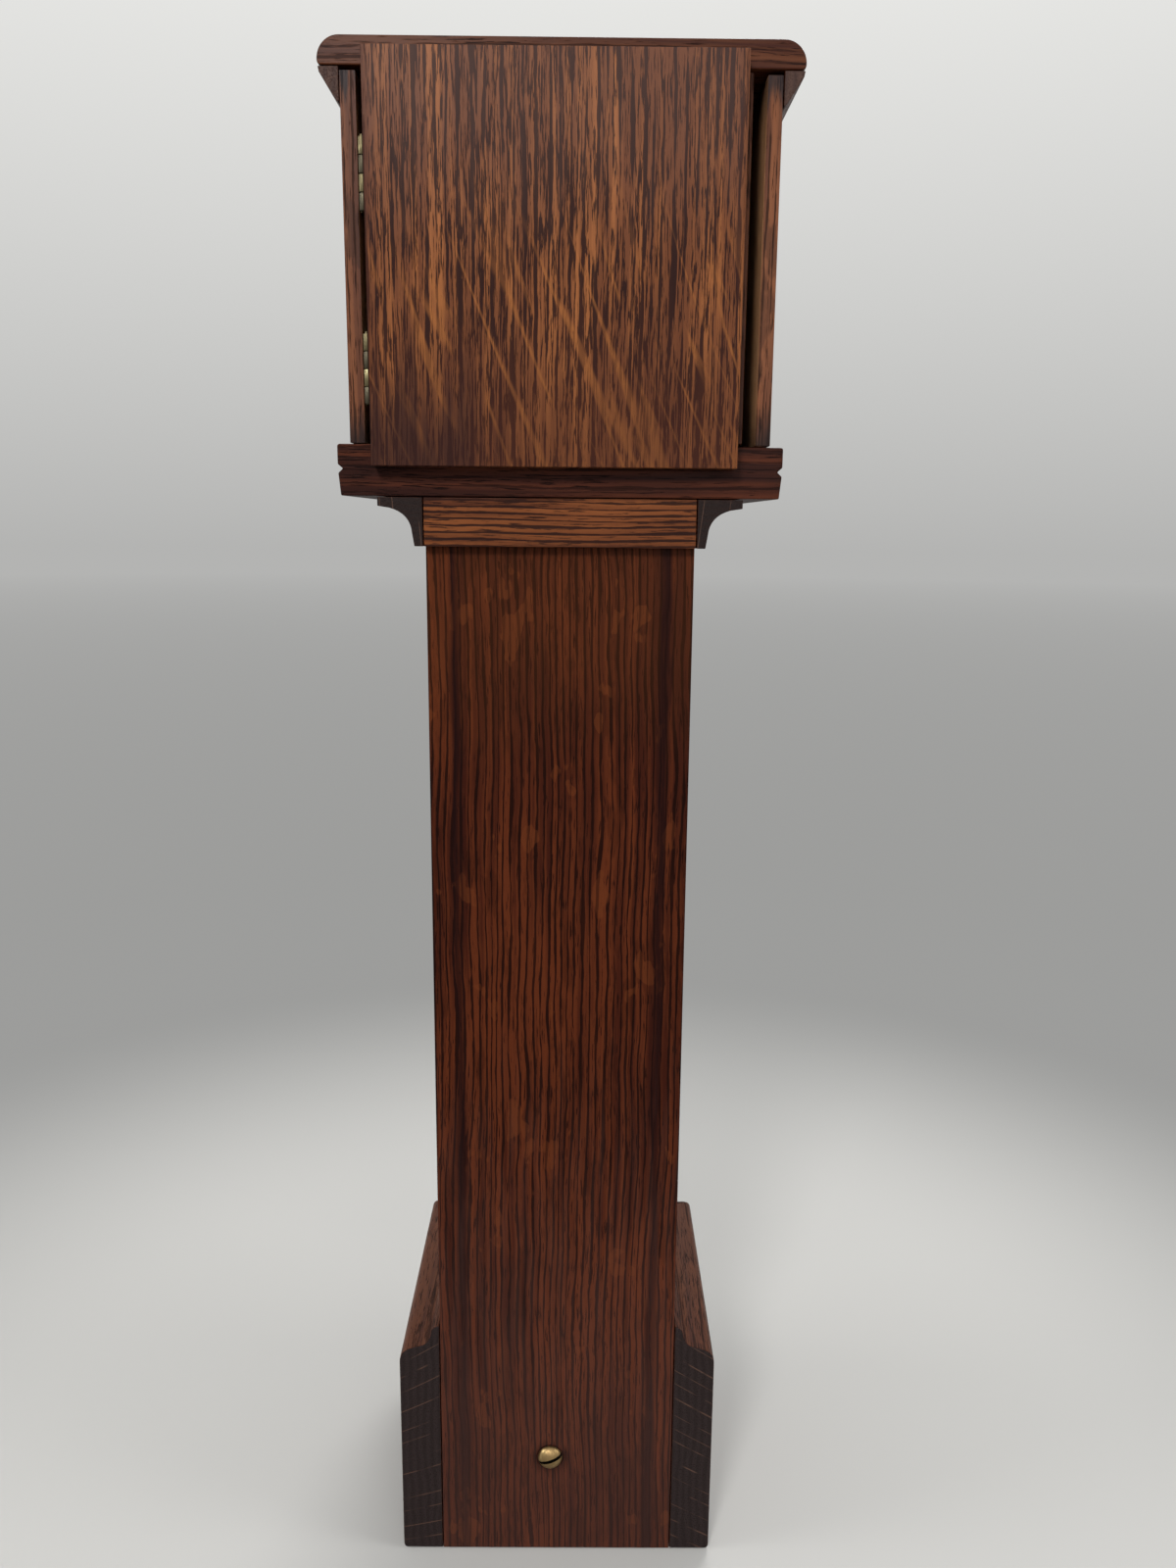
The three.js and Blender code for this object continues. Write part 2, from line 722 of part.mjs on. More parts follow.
for (const [side, sign] of [['left', 1], ['right', -1]]) {
  const x0 = Math.min(sign * halfOpening, sign * halfHood);
  const x1 = Math.max(sign * halfOpening, sign * halfHood);
  piece(`hood_stile_${side}`, cut(
    box(x0, x1, hoodFrontY, frameBackY, hoodFloor, frameTop),
    glassGroove,
  ), oakFace);
}
const railHalf = halfOpening - gap;
piece('hood_rail_bottom', cut(
  box(-railHalf, railHalf, hoodFrontY, frameBackY, hoodFloor, openingLow),
  glassGroove,
), oakFace);
piece('hood_rail_top', cut(
  box(-railHalf, railHalf, hoodFrontY, frameBackY, openingHigh, frameTop),
  glassGroove,
), oakFace);
piece('dial_glass', box(
  -glassHalf, glassHalf,
  glassFrontY, glassFrontY + glassThickness,
  dialCentreZ - glassHalf, dialCentreZ + glassHalf,
), clearGlass);

// Top board: the upper edge is rounded over on the sides and the front.
const topHalf = halfHood + topBoardOverhang;

function topBoardSection() {
  const shape = new THREE.Shape();
  shape.moveTo(-topHalf + topBoardLowRound, hoodTop);
  shape.lineTo(topHalf - topBoardLowRound, hoodTop);
  shape.quadraticCurveTo(topHalf, hoodTop, topHalf, topBoardTop - topBoardRadius);
  shape.absarc(topHalf - topBoardRadius, topBoardTop - topBoardRadius, topBoardRadius, 0, Math.PI / 2, false);
  shape.absarc(-topHalf + topBoardRadius, topBoardTop - topBoardRadius, topBoardRadius,
    Math.PI / 2, Math.PI, false);
  shape.quadraticCurveTo(-topHalf, hoodTop, -topHalf + topBoardLowRound, hoodTop);
  return shape;
}

function topBoardFrontSection() {
  const shape = new THREE.Shape();
  shape.moveTo(hoodBackY, hoodTop);
  shape.lineTo(hoodBackY, topBoardTop);
  shape.lineTo(topBoardFrontY + topBoardRadius, topBoardTop);
  shape.absarc(topBoardFrontY + topBoardRadius, topBoardTop - topBoardRadius, topBoardRadius,
    Math.PI / 2, Math.PI, false);
  shape.quadraticCurveTo(topBoardFrontY, hoodTop, topBoardFrontY + topBoardLowRound, hoodTop);
  return shape;
}

piece('hood_top_board', prismY(topBoardSection(), topBoardFrontY, hoodBackY)
  .intersect(prismX(topBoardFrontSection(), -topHalf - over, topHalf + over)), oakDark);

// Cornice: a splayed moulding under the top board, mitred at the front corners.
const corniceTop = hoodTop - gap;

function corniceSection(inner) {
  const reach = topBoardOverhang - gap;
  return [
    [inner, corniceTop - corniceHeight],
    [inner + corniceFoot, corniceTop - corniceHeight],
    [inner + reach - corniceCrown[0], corniceTop - corniceCrown[1]],
    [inner + reach - corniceTopInset, corniceTop],
    [inner, corniceTop],
  ];
}

const corniceInner = halfHood + gap;
const corniceFrontY = hoodFrontY - gap;
const corniceTool = [corniceTop - corniceHeight - over, corniceTop + over];
const corniceLeft = cut(
  prismY(shapeOf(corniceSection(corniceInner)), corniceFrontY - topBoardOverhang, hoodBackY),
  mitreTool(corniceInner - gap / 2, corniceFrontY + gap / 2, -1, -1, ...corniceTool),
);
piece('cornice_left', corniceLeft, oakDark);
piece('cornice_right', corniceLeft.mirror([1, 0, 0]), oakDark);
const corniceFrontSection = corniceSection(0).map(([out, z]) => [corniceFrontY - out, z]);
piece('cornice_front', cut(
  prismX(shapeOf(corniceFrontSection), -topHalf, topHalf),
  mitreTool(corniceInner - gap / 2, corniceFrontY - gap / 2, 1, 1, ...corniceTool),
  mitreTool(-corniceInner + gap / 2, corniceFrontY - gap / 2, -1, 1, ...corniceTool),
), oakDark);

// Rear door and the inner panel that keeps it in line between the boards.
const doorFarX = doorEdgeX - doorWidth;
piece('rear_door', cut(
  box(doorFarX, doorEdgeX, doorInnerY, doorBackY, hoodBaseTop - doorLapBelow, hoodTop + doorLapAbove),
  ...doorScrewHoles,
), oakDoor);
piece('door_inner_panel', box(
  doorFarX - innerPanelReach, doorEdgeX - innerPanelInset,
  doorInnerY - gap - innerPanelThickness, doorInnerY - gap,
  hoodBaseTop + innerPanelFit, hoodTop - innerPanelFit,
), oakDark);

function knuckles(top, owned) {
  return owned.map((index) => [
    top - (index + 1) * knuckleLength + knuckleGap / 2,
    top - index * knuckleLength - knuckleGap / 2,
  ]);
}

// The case leaf holds the staked pin, and the door leaf's knuckles are bored to turn on it.
function hingeLeaf(top, owned, plateOf, fingerOf) {
  const parts = knuckles(top, owned).flatMap(([low, high]) => [
    rodZ(knuckleRadius, low, high, hingeX, hingeY),
    fingerOf(low, high),
  ]);
  return join(plateOf(top - hingeLength, top), ...parts);
}

const casePlate = (low, high) => box(
  caseLeafX, caseLeafX + leafThickness, hingeY - leafWidth, hingeY - leafSetback, low, high);
const caseFinger = (low, high) => box(
  caseLeafX, caseLeafX + leafThickness, hingeY - leafSetback - fingerOverlap, hingeY, low, high);
const doorPlate = (low, high) => box(
  hingeX - leafWidth, hingeX - leafSetback, doorLeafY, doorLeafY + leafThickness, low, high);
const doorFinger = (low, high) => box(
  hingeX - leafSetback - fingerOverlap, hingeX, doorLeafY, doorLeafY + leafThickness, low, high);
const hingeNames = ['upper', 'lower'];
hingeTopZ.forEach((top, index) => {
  const low = top - hingeLength;
  const pin = rodZ(hingePinRadius, low, top + hingePinStand, hingeX, hingeY);
  const bore = rodZ(hingePinBore, low - over, top + over, hingeX, hingeY);
  const caseLeaf = join(hingeLeaf(top, [0, 2], casePlate, caseFinger), pin);
  const doorLeaf = cut(hingeLeaf(top, [1, 3], doorPlate, doorFinger), bore);
  piece(`${hingeNames[index]}_hinge_case_leaf`, cut(caseLeaf, ...caseScrewHoles), brass);
  piece(`${hingeNames[index]}_hinge_door_leaf`, cut(doorLeaf, ...doorScrewHoles), brass);
});

const caseScrew = caseScrewTurn(woodScrew(leafScrew));
const doorScrew = doorScrewTurn(woodScrew(leafScrew));
caseScrewPlaces.forEach(([y, z], index) => {
  piece(`hinge_case_screw_${index + 1}`, caseScrew, brass, clock, [caseLeafX, y, z]);
});
doorScrewPlaces.forEach(([x, z], index) => {
  piece(`hinge_door_screw_${index + 1}`, doorScrew, brass, clock, [x, doorLeafY, z]);
});

// Outline helpers for the movement, drawn in x and z about the wheel's own centre.
const turn = Math.PI * 2;

function ringPoint(radius, angle) {
  return new THREE.Vector2(radius * Math.cos(angle), radius * Math.sin(angle));
}

// A toothed outline with straight flanks: wheel teeth are broad at the root, pinion leaves are slim.
function gearShape(form, teeth, module, phase = 0) {
  const pitchRadius = teeth * module / 2;
  const root = pitchRadius - module * form.root;
  const tip = pitchRadius + module * form.tip;
  const pitchAngle = turn / teeth;
  const rootHalf = pitchAngle * form.rootHalf;
  const tipHalf = pitchAngle * form.tipHalf;
  const points = [];
  for (let tooth = 0; tooth < teeth; tooth += 1) {
    const middle = phase + tooth * pitchAngle;
    points.push(ringPoint(root, middle - rootHalf), ringPoint(tip, middle - tipHalf));
    points.push(ringPoint(tip, middle + tipHalf), ringPoint(root, middle + rootHalf));
  }
  return new THREE.Shape(points);
}

// Saw teeth that lean one way, for the ratchet and the escape wheel.
function sawShape(teeth, tip, depth, lean) {
  const points = [];
  for (let tooth = 0; tooth < teeth; tooth += 1) {
    const start = tooth * turn / teeth;
    points.push(ringPoint(tip - depth, start), ringPoint(tip, start + lean * turn / teeth));
  }
  return new THREE.Shape(points);
}

function circleHole(shape, radius, x = 0, z = 0) {
  const hole = new THREE.Path();
  hole.absarc(x, z, radius, 0, turn, true);
  shape.holes.push(hole);
}

// The windows between a wheel's hub, rim and spokes.
function spokeWindows(shape, hubRadius, rimRadius, spokes, width) {
  for (let i = 0; i < spokes; i += 1) {
    const start = i * turn / spokes;
    const outerTurn = width / 2 / rimRadius;
    const innerTurn = width / 2 / hubRadius;
    const window = new THREE.Path();
    const end = start + turn / spokes;
    window.absarc(0, 0, rimRadius, start + outerTurn, end - outerTurn, false);
    window.absarc(0, 0, hubRadius, end - innerTurn, start + innerTurn, true);
    window.closePath();
    shape.holes.push(window);
  }
}

function polar(origin, distance, degrees) {
  const angle = THREE.MathUtils.degToRad(degrees);
  return [origin[0] + distance * Math.cos(angle), origin[1] + distance * Math.sin(angle)];
}

// The turn that puts a driven pinion's gap on the driving wheel's tooth.
function meshPhase(fromTeeth, fromPhase, toTeeth, degrees) {
  const direction = THREE.MathUtils.degToRad(degrees);
  const share = (direction - fromPhase) / (turn / fromTeeth);
  return direction + Math.PI - (turn / toTeeth) * (1 / 2 - share);
}

function pairDistance(teethA, teethB, module) {
  return (teethA + teethB) * module / 2;
}

// Movement: everything is placed from the centre arbor, with y = 0 at the front plate's inner face.
const movement = new THREE.Group();
movement.position.set(0, plateInnerY, dialCentreZ);
clock.add(movement);

const centre = [0, 0];
const barrelDistance = pairDistance(greatTeeth, centrePinionLeaves, greatModule);
const thirdDistance = pairDistance(centreTeeth, thirdPinionLeaves, centreModule);
const fourthDistance = pairDistance(thirdTeeth, fourthPinionLeaves, thirdModule);
const fourthModule = (fourthDistance - arborRadius - fourthTipClearance) / (fourthTeeth / 2 + wheelForm.tip);
const escapeDistance = pairDistance(fourthTeeth, escapePinionLeaves, fourthModule);
const minuteWheelDistance = pairDistance(cannonLeaves, minuteTeeth, motionModule);
const barrelAt = polar(centre, barrelDistance, barrelDirection);
const thirdAt = polar(centre, thirdDistance, thirdDirection);
const fourthAt = polar(thirdAt, fourthDistance, fourthDirection);
const escapeAt = polar(fourthAt, escapeDistance, escapeDirection);
const leverAt = polar(escapeAt, leverDistance, leverDirection);
const balanceAt = polar(leverAt, balanceDistance, balanceDirection);
const minuteWheelAt = polar(centre, minuteWheelDistance, minuteWheelDirection);
const clickAt = polar(barrelAt, clickPivotDistance, clickDirection);

const backPlateFront = plateSpace;
const backPlateBack = plateSpace + plateThickness;
const dialFaceLocal = dialFrontY - plateInnerY;
const dialBackLocal = dialBackY - plateInnerY;
const frontPlateFace = -plateThickness;

// An arbor from plate to plate with thinner pivots that run in the plate holes.
function arborParts(radius = arborRadius) {
  return [
    rodY(radius, gap, plateSpace - gap, 0, 0, sidesSmall),
    rodY(pivotRadius, -plateThickness, plateSpace + plateThickness, 0, 0, sidesSmall),
  ];
}

function wheelDisc(teeth, module, y0, hub) {
  const shape = gearShape(wheelForm, teeth, module);
  const rim = teeth * module / 2 - module * wheelForm.root - wheelRim;
  spokeWindows(shape, hub, rim, wheelSpokes, spokeWidth);
  return prismY(shape, y0, y0 + wheelThickness, curveSmall);
}

// Dial: a plain painted plate between the hood sides.
const dialHalf = hoodInnerHalf - gap;
const dialShape = shapeOf([
  [-dialHalf, hoodFloor - dialCentreZ], [dialHalf, hoodFloor - dialCentreZ],
  [dialHalf, sideTop - dialCentreZ], [-dialHalf, sideTop - dialCentreZ],
]);
circleHole(dialShape, dialHoleRadius);
piece('dial_plate', prismY(dialShape, dialFaceLocal, dialBackLocal), cream, movement);

// Plates and pillars
const pillarPlaces = [
  [plateLeft + pillarInset, plateLow + pillarInset],
  [plateRight - pillarInset, plateLow + pillarInset],
  [plateRight - pillarInset, plateHigh - pillarInset],
  [plateLeft + pillarInset, plateHigh - pillarInset],
];
const pivotPlaces = [thirdAt, fourthAt, escapeAt, leverAt, balanceAt];

function plateShape() {
  const shape = shapeOf([
    [plateLeft, plateLow], [plateRight, plateLow], [plateRight, plateHigh], [plateLeft, plateHigh],
  ]);
  pivotPlaces.forEach(([x, z]) => circleHole(shape, pivotHole, x, z));
  return shape;
}

const frontShape = plateShape();
circleHole(frontShape, centreArborRadius + gap);
circleHole(frontShape, pivotRadius + gap, ...barrelAt);
const pillars = pillarPlaces.flatMap(([x, z]) => [
  rodY(pillarRadius, -plateThickness / 2, plateSpace - gap, x, z, sidesSmall),
  rodY(pillarScrewRadius, plateSpace / 2, backPlateBack + pillarScrewLength, x, z, sidesSmall),
  rodY(pillarRadius, dialBackLocal + gap, -plateThickness / 2, x, z, sidesSmall),
]);
const motionWorkFace = dialBackLocal + motionWorkStand;
const minuteWheelPost = rodY(arborRadius, motionWorkFace, -plateThickness / 2, ...minuteWheelAt, sidesSmall);
piece('movement_front_plate', join(
  prismY(frontShape, frontPlateFace, 0, curveMoulding), ...pillars, minuteWheelPost,
), brass, movement);

const backShape = plateShape();
circleHole(backShape, centrePipeRadius + gap);
circleHole(backShape, windingArborRadius + gap, ...barrelAt);
pillarPlaces.forEach(([x, z]) => circleHole(backShape, pillarScrewRadius + gap, x, z));
const backPlateMiddle = backPlateFront + plateThickness / 2;
const clickPost = rodY(arborRadius, backPlateMiddle, backPlateBack + clickPostLength, ...clickAt, sidesSmall);
const studDistance = hairspringRadius + hairspringStrip / 2 + gap + studRadius;
const studAt = polar(balanceAt, studDistance, studDirection);
const hairspringY = balanceY + balanceRim + hairspringStand;
const colletFront = hairspringY - colletThickness / 2;
const stud = rodY(studRadius, colletFront, backPlateMiddle, ...studAt, sidesSmall);
const backPlate = prismY(backShape, backPlateFront, backPlateBack, curveMoulding);
piece('movement_back_plate', join(backPlate, clickPost, stud), brass, movement);

// Going barrel: the great wheel and the drum turn freely on the winding arbor.
const greatPhase = 0;
const barrelBack = barrelFront + wheelThickness + barrelHeight;
const barrelBore = windingArborRadius + gap;
const greatDisc = gearShape(wheelForm, greatTeeth, greatModule, greatPhase);
circleHole(greatDisc, barrelRadius - barrelWall);
const drum = turned([
  [barrelBore, barrelFront + barrelWall],
  [barrelBore, barrelFront],
  [barrelRadius, barrelFront],
  [barrelRadius, barrelBack],
  [barrelBore, barrelBack],
  [barrelBore, barrelBack - barrelWall],
  [barrelRadius - barrelWall, barrelBack - barrelWall],
  [barrelRadius - barrelWall, barrelFront + barrelWall],
  [barrelBore, barrelFront + barrelWall],
], sidesLarge);
const greatWheel = prismY(greatDisc, barrelFront, barrelFront + wheelThickness);
piece('mainspring_barrel', join(drum, greatWheel), brass, movement, [barrelAt[0], 0, barrelAt[1]]);

// A flat spiral strip, wound outwards at a steady rate.
function spiralStrip(inner, outer, turns, strip, startAngle, y0, y1) {
  const steps = turns * springSteps;
  const side = (offset) => Array.from({ length: steps + 1 }, (_, i) => (
    ringPoint(inner + (outer - inner) * i / steps + offset, startAngle + i * turn / springSteps)
  ));
  return prismY(new THREE.Shape([...side(strip / 2), ...side(-strip / 2).reverse()]), y0, y1);
}

const springInner = windingArborRadius + gap + mainspringStrip / 2;
const springOuter = barrelRadius - barrelWall - gap - mainspringStrip / 2;
piece('mainspring', spiralStrip(
  springInner, springOuter, mainspringTurns, mainspringStrip, 0,
  barrelFront + barrelWall + gap, barrelBack - barrelWall - gap,
), blueSteel, movement, [barrelAt[0], 0, barrelAt[1]]);

// Winding arbor with its ratchet wheel, its square and the key on it.
const ratchetFront = backPlateBack + gap;
const ratchetBack = ratchetFront + ratchetThickness;
const squareHalf = windingSquare / 2;
piece('winding_arbor', join(
  rodY(pivotRadius, frontPlateFace, barrelFront, 0, 0, sidesSmall),
  rodY(windingArborRadius, gap, ratchetBack),
  prismY(sawShape(ratchetTeeth, ratchetRadius, ratchetDepth, ratchetLean), ratchetFront, ratchetBack),
  box(-squareHalf, squareHalf, ratchetFront, ratchetBack + windingSquareLength, -squareHalf, squareHalf),
), steel, movement, [barrelAt[0], 0, barrelAt[1]]);

const keyFront = ratchetBack + gap;
const keyHubBack = keyFront + keyHubLength;
const keySocket = squareHalf + gap;
const keyHubRadius = Math.hypot(keySocket, keySocket) + keyWall;
const keyWings = new THREE.Shape();
const keyWingsY = keyHubBack + keyWingDepth - keyWingRoot;
keyWings.absellipse(keyWingsY, 0, keyWingDepth, keyWingHeight, 0, turn, false, 0);
piece('winding_key', cut(
  join(
    rodY(keyHubRadius, keyFront, keyHubBack),
    prismX(keyWings, -keyWingThickness / 2, keyWingThickness / 2, curveFine),
  ),
  box(-keySocket, keySocket, keyFront - over, ratchetBack + windingSquareLength + gap, -keySocket, keySocket),
), brass, movement, [barrelAt[0], 0, barrelAt[1]]);

// Click: the pawl that holds the ratchet, drawn lying just clear of the teeth.
const clickHome = THREE.MathUtils.degToRad(clickDirection);
const clickTipRadius = ratchetRadius + gap;
const clickTipShare = (clickPivotDistance ** 2 + clickTipRadius ** 2 - clickArm ** 2)
  / (2 * clickPivotDistance * clickTipRadius);
const clickTipAngle = clickHome + Math.acos(clickTipShare);
const clickTip = [
  clickTipRadius * Math.cos(clickTipAngle) - clickPivotDistance * Math.cos(clickHome),
  clickTipRadius * Math.sin(clickTipAngle) - clickPivotDistance * Math.sin(clickHome),
];
const clickBack = [
  clickTip[0] + Math.cos(clickTipAngle) * clickTipWidth,
  clickTip[1] + Math.sin(clickTipAngle) * clickTipWidth,
];
piece('ratchet_click', cut(
  join(
    rodY(clickEyeRadius, ratchetFront, ratchetBack),
    prismY(shapeOf([clickTip, [0, 0], clickBack]), ratchetFront, ratchetBack),
  ),
  rodY(arborRadius + gap, ratchetFront - over, ratchetBack + over),
), steel, movement, [clickAt[0], 0, clickAt[1]]);

// Centre wheel: its pipe runs on the centre arbor, which it drives by friction.
const centreBore = centreArborRadius + gap;
const centrePhase = meshPhase(greatTeeth, greatPhase, centrePinionLeaves, barrelDirection + 180);
piece('centre_wheel', cut(
  join(
    prismY(gearShape(pinionForm, centrePinionLeaves, greatModule, centrePhase), centrePinionY,
      centrePinionY + pinionLength),
    rodY(centrePipeRadius, centrePinionY, backPlateMiddle),
    wheelDisc(centreTeeth, centreModule, centreWheelY, centreHub),
  ),
  rodY(centreBore, 0, backPlateBack),
), brass, movement);

// Third, fourth and escape wheels on their arbors.
function trainWheel(name, at, leaves, leafModule, phase, pinionY, wheel) {
  const pinion = prismY(gearShape(pinionForm, leaves, leafModule, phase), pinionY, pinionY + pinionLength);
  piece(name, join(...arborParts(), pinion, wheel), brass, movement, [at[0], 0, at[1]]);
}

const pinionLead = (pinionLength - wheelThickness) / 2;
trainWheel('third_wheel', thirdAt, thirdPinionLeaves, centreModule,
  meshPhase(centreTeeth, 0, thirdPinionLeaves, thirdDirection),
  centreWheelY - pinionLead, wheelDisc(thirdTeeth, thirdModule, thirdWheelY, thirdHub));
trainWheel('fourth_wheel', fourthAt, fourthPinionLeaves, thirdModule,
  meshPhase(thirdTeeth, 0, fourthPinionLeaves, fourthDirection),
  thirdWheelY - pinionLead, wheelDisc(fourthTeeth, fourthModule, fourthWheelY, fourthHub));
const escapeWheelBack = escapeWheelY + escapeThickness;
const escapeShape = sawShape(escapeTeeth, escapeRadius, escapeDepth, escapeLean);
spokeWindows(escapeShape, escapeHub, escapeRadius - escapeDepth - escapeRim, wheelSpokes, escapeSpokeWidth);
trainWheel('escape_wheel', escapeAt, escapePinionLeaves, fourthModule,
  meshPhase(fourthTeeth, 0, escapePinionLeaves, escapeDirection),
  fourthWheelY - pinionLead, prismY(escapeShape, escapeWheelY, escapeWheelBack, curveSmall));

// Lever: two pallet pins beside the escape wheel and a fork towards the balance.
const leverBack = escapeWheelY + leverThickness;
const palletArmFront = escapeWheelY - palletArmDrop;
const palletArmBack = palletArmFront + palletArmThickness;
const towardEscape = leverDirection + 180;
const palletPlaces = [palletPinAngle, -palletPinAngle].map((spread) => (
  polar(polar([0, 0], leverDistance, towardEscape), palletPinCircle, leverDirection + spread)
));
const forkReach = balanceDistance - impulsePinCircle - impulsePinRadius - forkClearance;

function barShape(from, to, halfFrom, halfTo) {
  const length = Math.hypot(to[0] - from[0], to[1] - from[1]);
  const across = [(from[1] - to[1]) / length, (to[0] - from[0]) / length];
  return shapeOf([
    [from[0] + across[0] * halfFrom, from[1] + across[1] * halfFrom],
    [to[0] + across[0] * halfTo, to[1] + across[1] * halfTo],
    [to[0] - across[0] * halfTo, to[1] - across[1] * halfTo],
    [from[0] - across[0] * halfFrom, from[1] - across[1] * halfFrom],
  ]);
}

const forkTip = polar([0, 0], forkReach, balanceDirection);
const forkRoot = polar([0, 0], forkReach - forkSlotLength, balanceDirection);
const slotEnd = polar([0, 0], forkReach + over, balanceDirection);
const leverBody = join(
  ...arborParts(leverArborRadius),
  rodY(leverHubRadius, palletArmFront, leverBack),
  prismY(barShape([0, 0], forkTip, leverHalf, forkHalfWidth), escapeWheelY, leverBack),
  ...palletPlaces.flatMap(([x, z]) => [
    prismY(barShape([0, 0], [x, z], leverHalf, palletArmHalf), palletArmFront, palletArmBack),
    rodY(palletPinRadius, palletArmFront, leverBack, x, z, sidesSmall),
  ]),
);
const forkSlotShape = barShape(forkRoot, slotEnd, forkSlot / 2, forkSlot / 2);
const forkSlotTool = prismY(forkSlotShape, palletArmBack, leverBack + over);
piece('lever', cut(leverBody, forkSlotTool), steel, movement, [leverAt[0], 0, leverAt[1]]);

// Balance: a two-armed rim, the roller with its impulse pin, and the hairspring's collet.
const balanceDisc = new THREE.Shape();
balanceDisc.absarc(0, 0, balanceRadius, 0, turn, false);
spokeWindows(balanceDisc, balanceHub, balanceRadius - balanceRim, balanceArms, balanceArmWidth);
const impulsePlace = polar([0, 0], impulsePinCircle, balanceDirection + 180);
const rollerFront = leverBack + rollerStand;
piece('balance_wheel', join(
  ...arborParts(),
  prismY(balanceDisc, balanceY, balanceY + balanceRim, curveFine),
  rodY(rollerRadius, rollerFront, rollerFront + rollerThickness, 0, 0, sidesFine),
  rodY(impulsePinRadius, escapeWheelY, rollerFront + rollerThickness, ...impulsePlace, sidesSmall),
  rodY(colletRadius, colletFront, colletFront + colletThickness),
), brass, movement, [balanceAt[0], 0, balanceAt[1]]);
piece('hairspring', spiralStrip(
  colletRadius + gap + hairspringStrip / 2, hairspringRadius, hairspringTurns, hairspringStrip,
  THREE.MathUtils.degToRad(studDirection),
  hairspringY - hairspringHeight / 2, hairspringY + hairspringHeight / 2,
), blueSteel, movement, [balanceAt[0], 0, balanceAt[1]]);

// Centre arbor with the cannon pinion: it carries the minute hand in front and the set knob behind.
const cannonY = frontPlateFace - gap - cannonLength;
const setKnobFront = backPlateBack + setKnobStand;
const setKnobBack = setKnobFront + setKnobThickness;
const minuteHandY = dialFaceLocal - minuteHandStand - handThickness;
const hourHandY = dialFaceLocal - hourHandStand - handThickness;
const cannonPhase = 0;
piece('centre_arbor', join(
  rodY(centreArborRadius, minuteHandY - gap, setKnobBack + gap),
  prismY(gearShape(pinionForm, cannonLeaves, motionModule, cannonPhase), cannonY, cannonY + cannonLength),
), steel, movement);

const knobShape = new THREE.Shape(Array.from({ length: setKnobFlutes * 2 }, (_, i) => (
  ringPoint(setKnobRadius - (i % 2) * setKnobFluteDepth, i * turn / setKnobFlutes / 2)
)));
circleHole(knobShape, centreBore);
piece('set_knob', prismY(knobShape, setKnobFront, setKnobBack, curveSmall), brass, movement);

// Motion work: the minute wheel and its pinion, and the hour wheel with its pipe.
const minuteWheelPhase = meshPhase(cannonLeaves, cannonPhase, minuteTeeth, minuteWheelDirection);
const minuteWheelFace = cannonY + minuteWheelSet;
const minuteWheelDisc = gearShape(wheelForm, minuteTeeth, motionModule, minuteWheelPhase);
const minutePinion = gearShape(pinionForm, minutePinionLeaves, motionModule, minuteWheelPhase);
piece('minute_wheel', cut(
  join(
    prismY(minuteWheelDisc, minuteWheelFace, minuteWheelFace + wheelThickness),
    prismY(minutePinion, motionWorkFace - gap, minuteWheelFace + wheelThickness / 2),
  ),
  rodY(arborRadius + gap, dialBackLocal, 0),
), brass, movement, [minuteWheelAt[0], 0, minuteWheelAt[1]]);

const hourPhase = meshPhase(minutePinionLeaves, minuteWheelPhase, hourTeeth, minuteWheelDirection + 180);
const hourPipeRadius = centreBore + hourPipeWall;
const hourDisc = gearShape(wheelForm, hourTeeth, motionModule, hourPhase);
piece('hour_wheel', cut(
  join(
    prismY(hourDisc, motionWorkFace, motionWorkFace + wheelThickness),
    rodY(hourPipeRadius, hourHandY - gap, motionWorkFace + wheelThickness),
  ),
  rodY(centreBore, minuteHandY, 0),
), brass, movement);

// Hands: a hub with a narrow blade that swells before its point.
function handShape(hubRadius, bore, length, width) {
  const shape = new THREE.Shape();
  const neck = Math.asin(width / 2 / hubRadius);
  const swell = width / 2 * handSwell;
  shape.absarc(0, 0, hubRadius, Math.PI / 2 + neck, Math.PI / 2 - neck + turn, false);
  shape.lineTo(width / 2, length * handSwellStart);
  shape.lineTo(swell, length * handSwellPeak);
  shape.lineTo(0, length);
  shape.lineTo(-swell, length * handSwellPeak);
  shape.lineTo(-width / 2, length * handSwellStart);
  circleHole(shape, bore);
  return shape;
}

const hourHand = handShape(hourHandHub, hourPipeRadius + gap, hourHandLength, hourHandWidth);
piece('hour_hand', prismY(hourHand, hourHandY, hourHandY + handThickness), blueSteel, movement)
  .rotation.set(0, THREE.MathUtils.degToRad(hourHandTurn), 0);
const minuteHand = handShape(minuteHandHub, centreBore, minuteHandLength, minuteHandWidth);
piece('minute_hand', prismY(minuteHand, minuteHandY, minuteHandY + handThickness), blueSteel, movement)
  .rotation.set(0, THREE.MathUtils.degToRad(minuteHandTurn), 0);

export default clock;
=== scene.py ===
from math import cos, hypot, pi, radians, sin
import bmesh
import bpy
from mathutils import Matrix, Vector


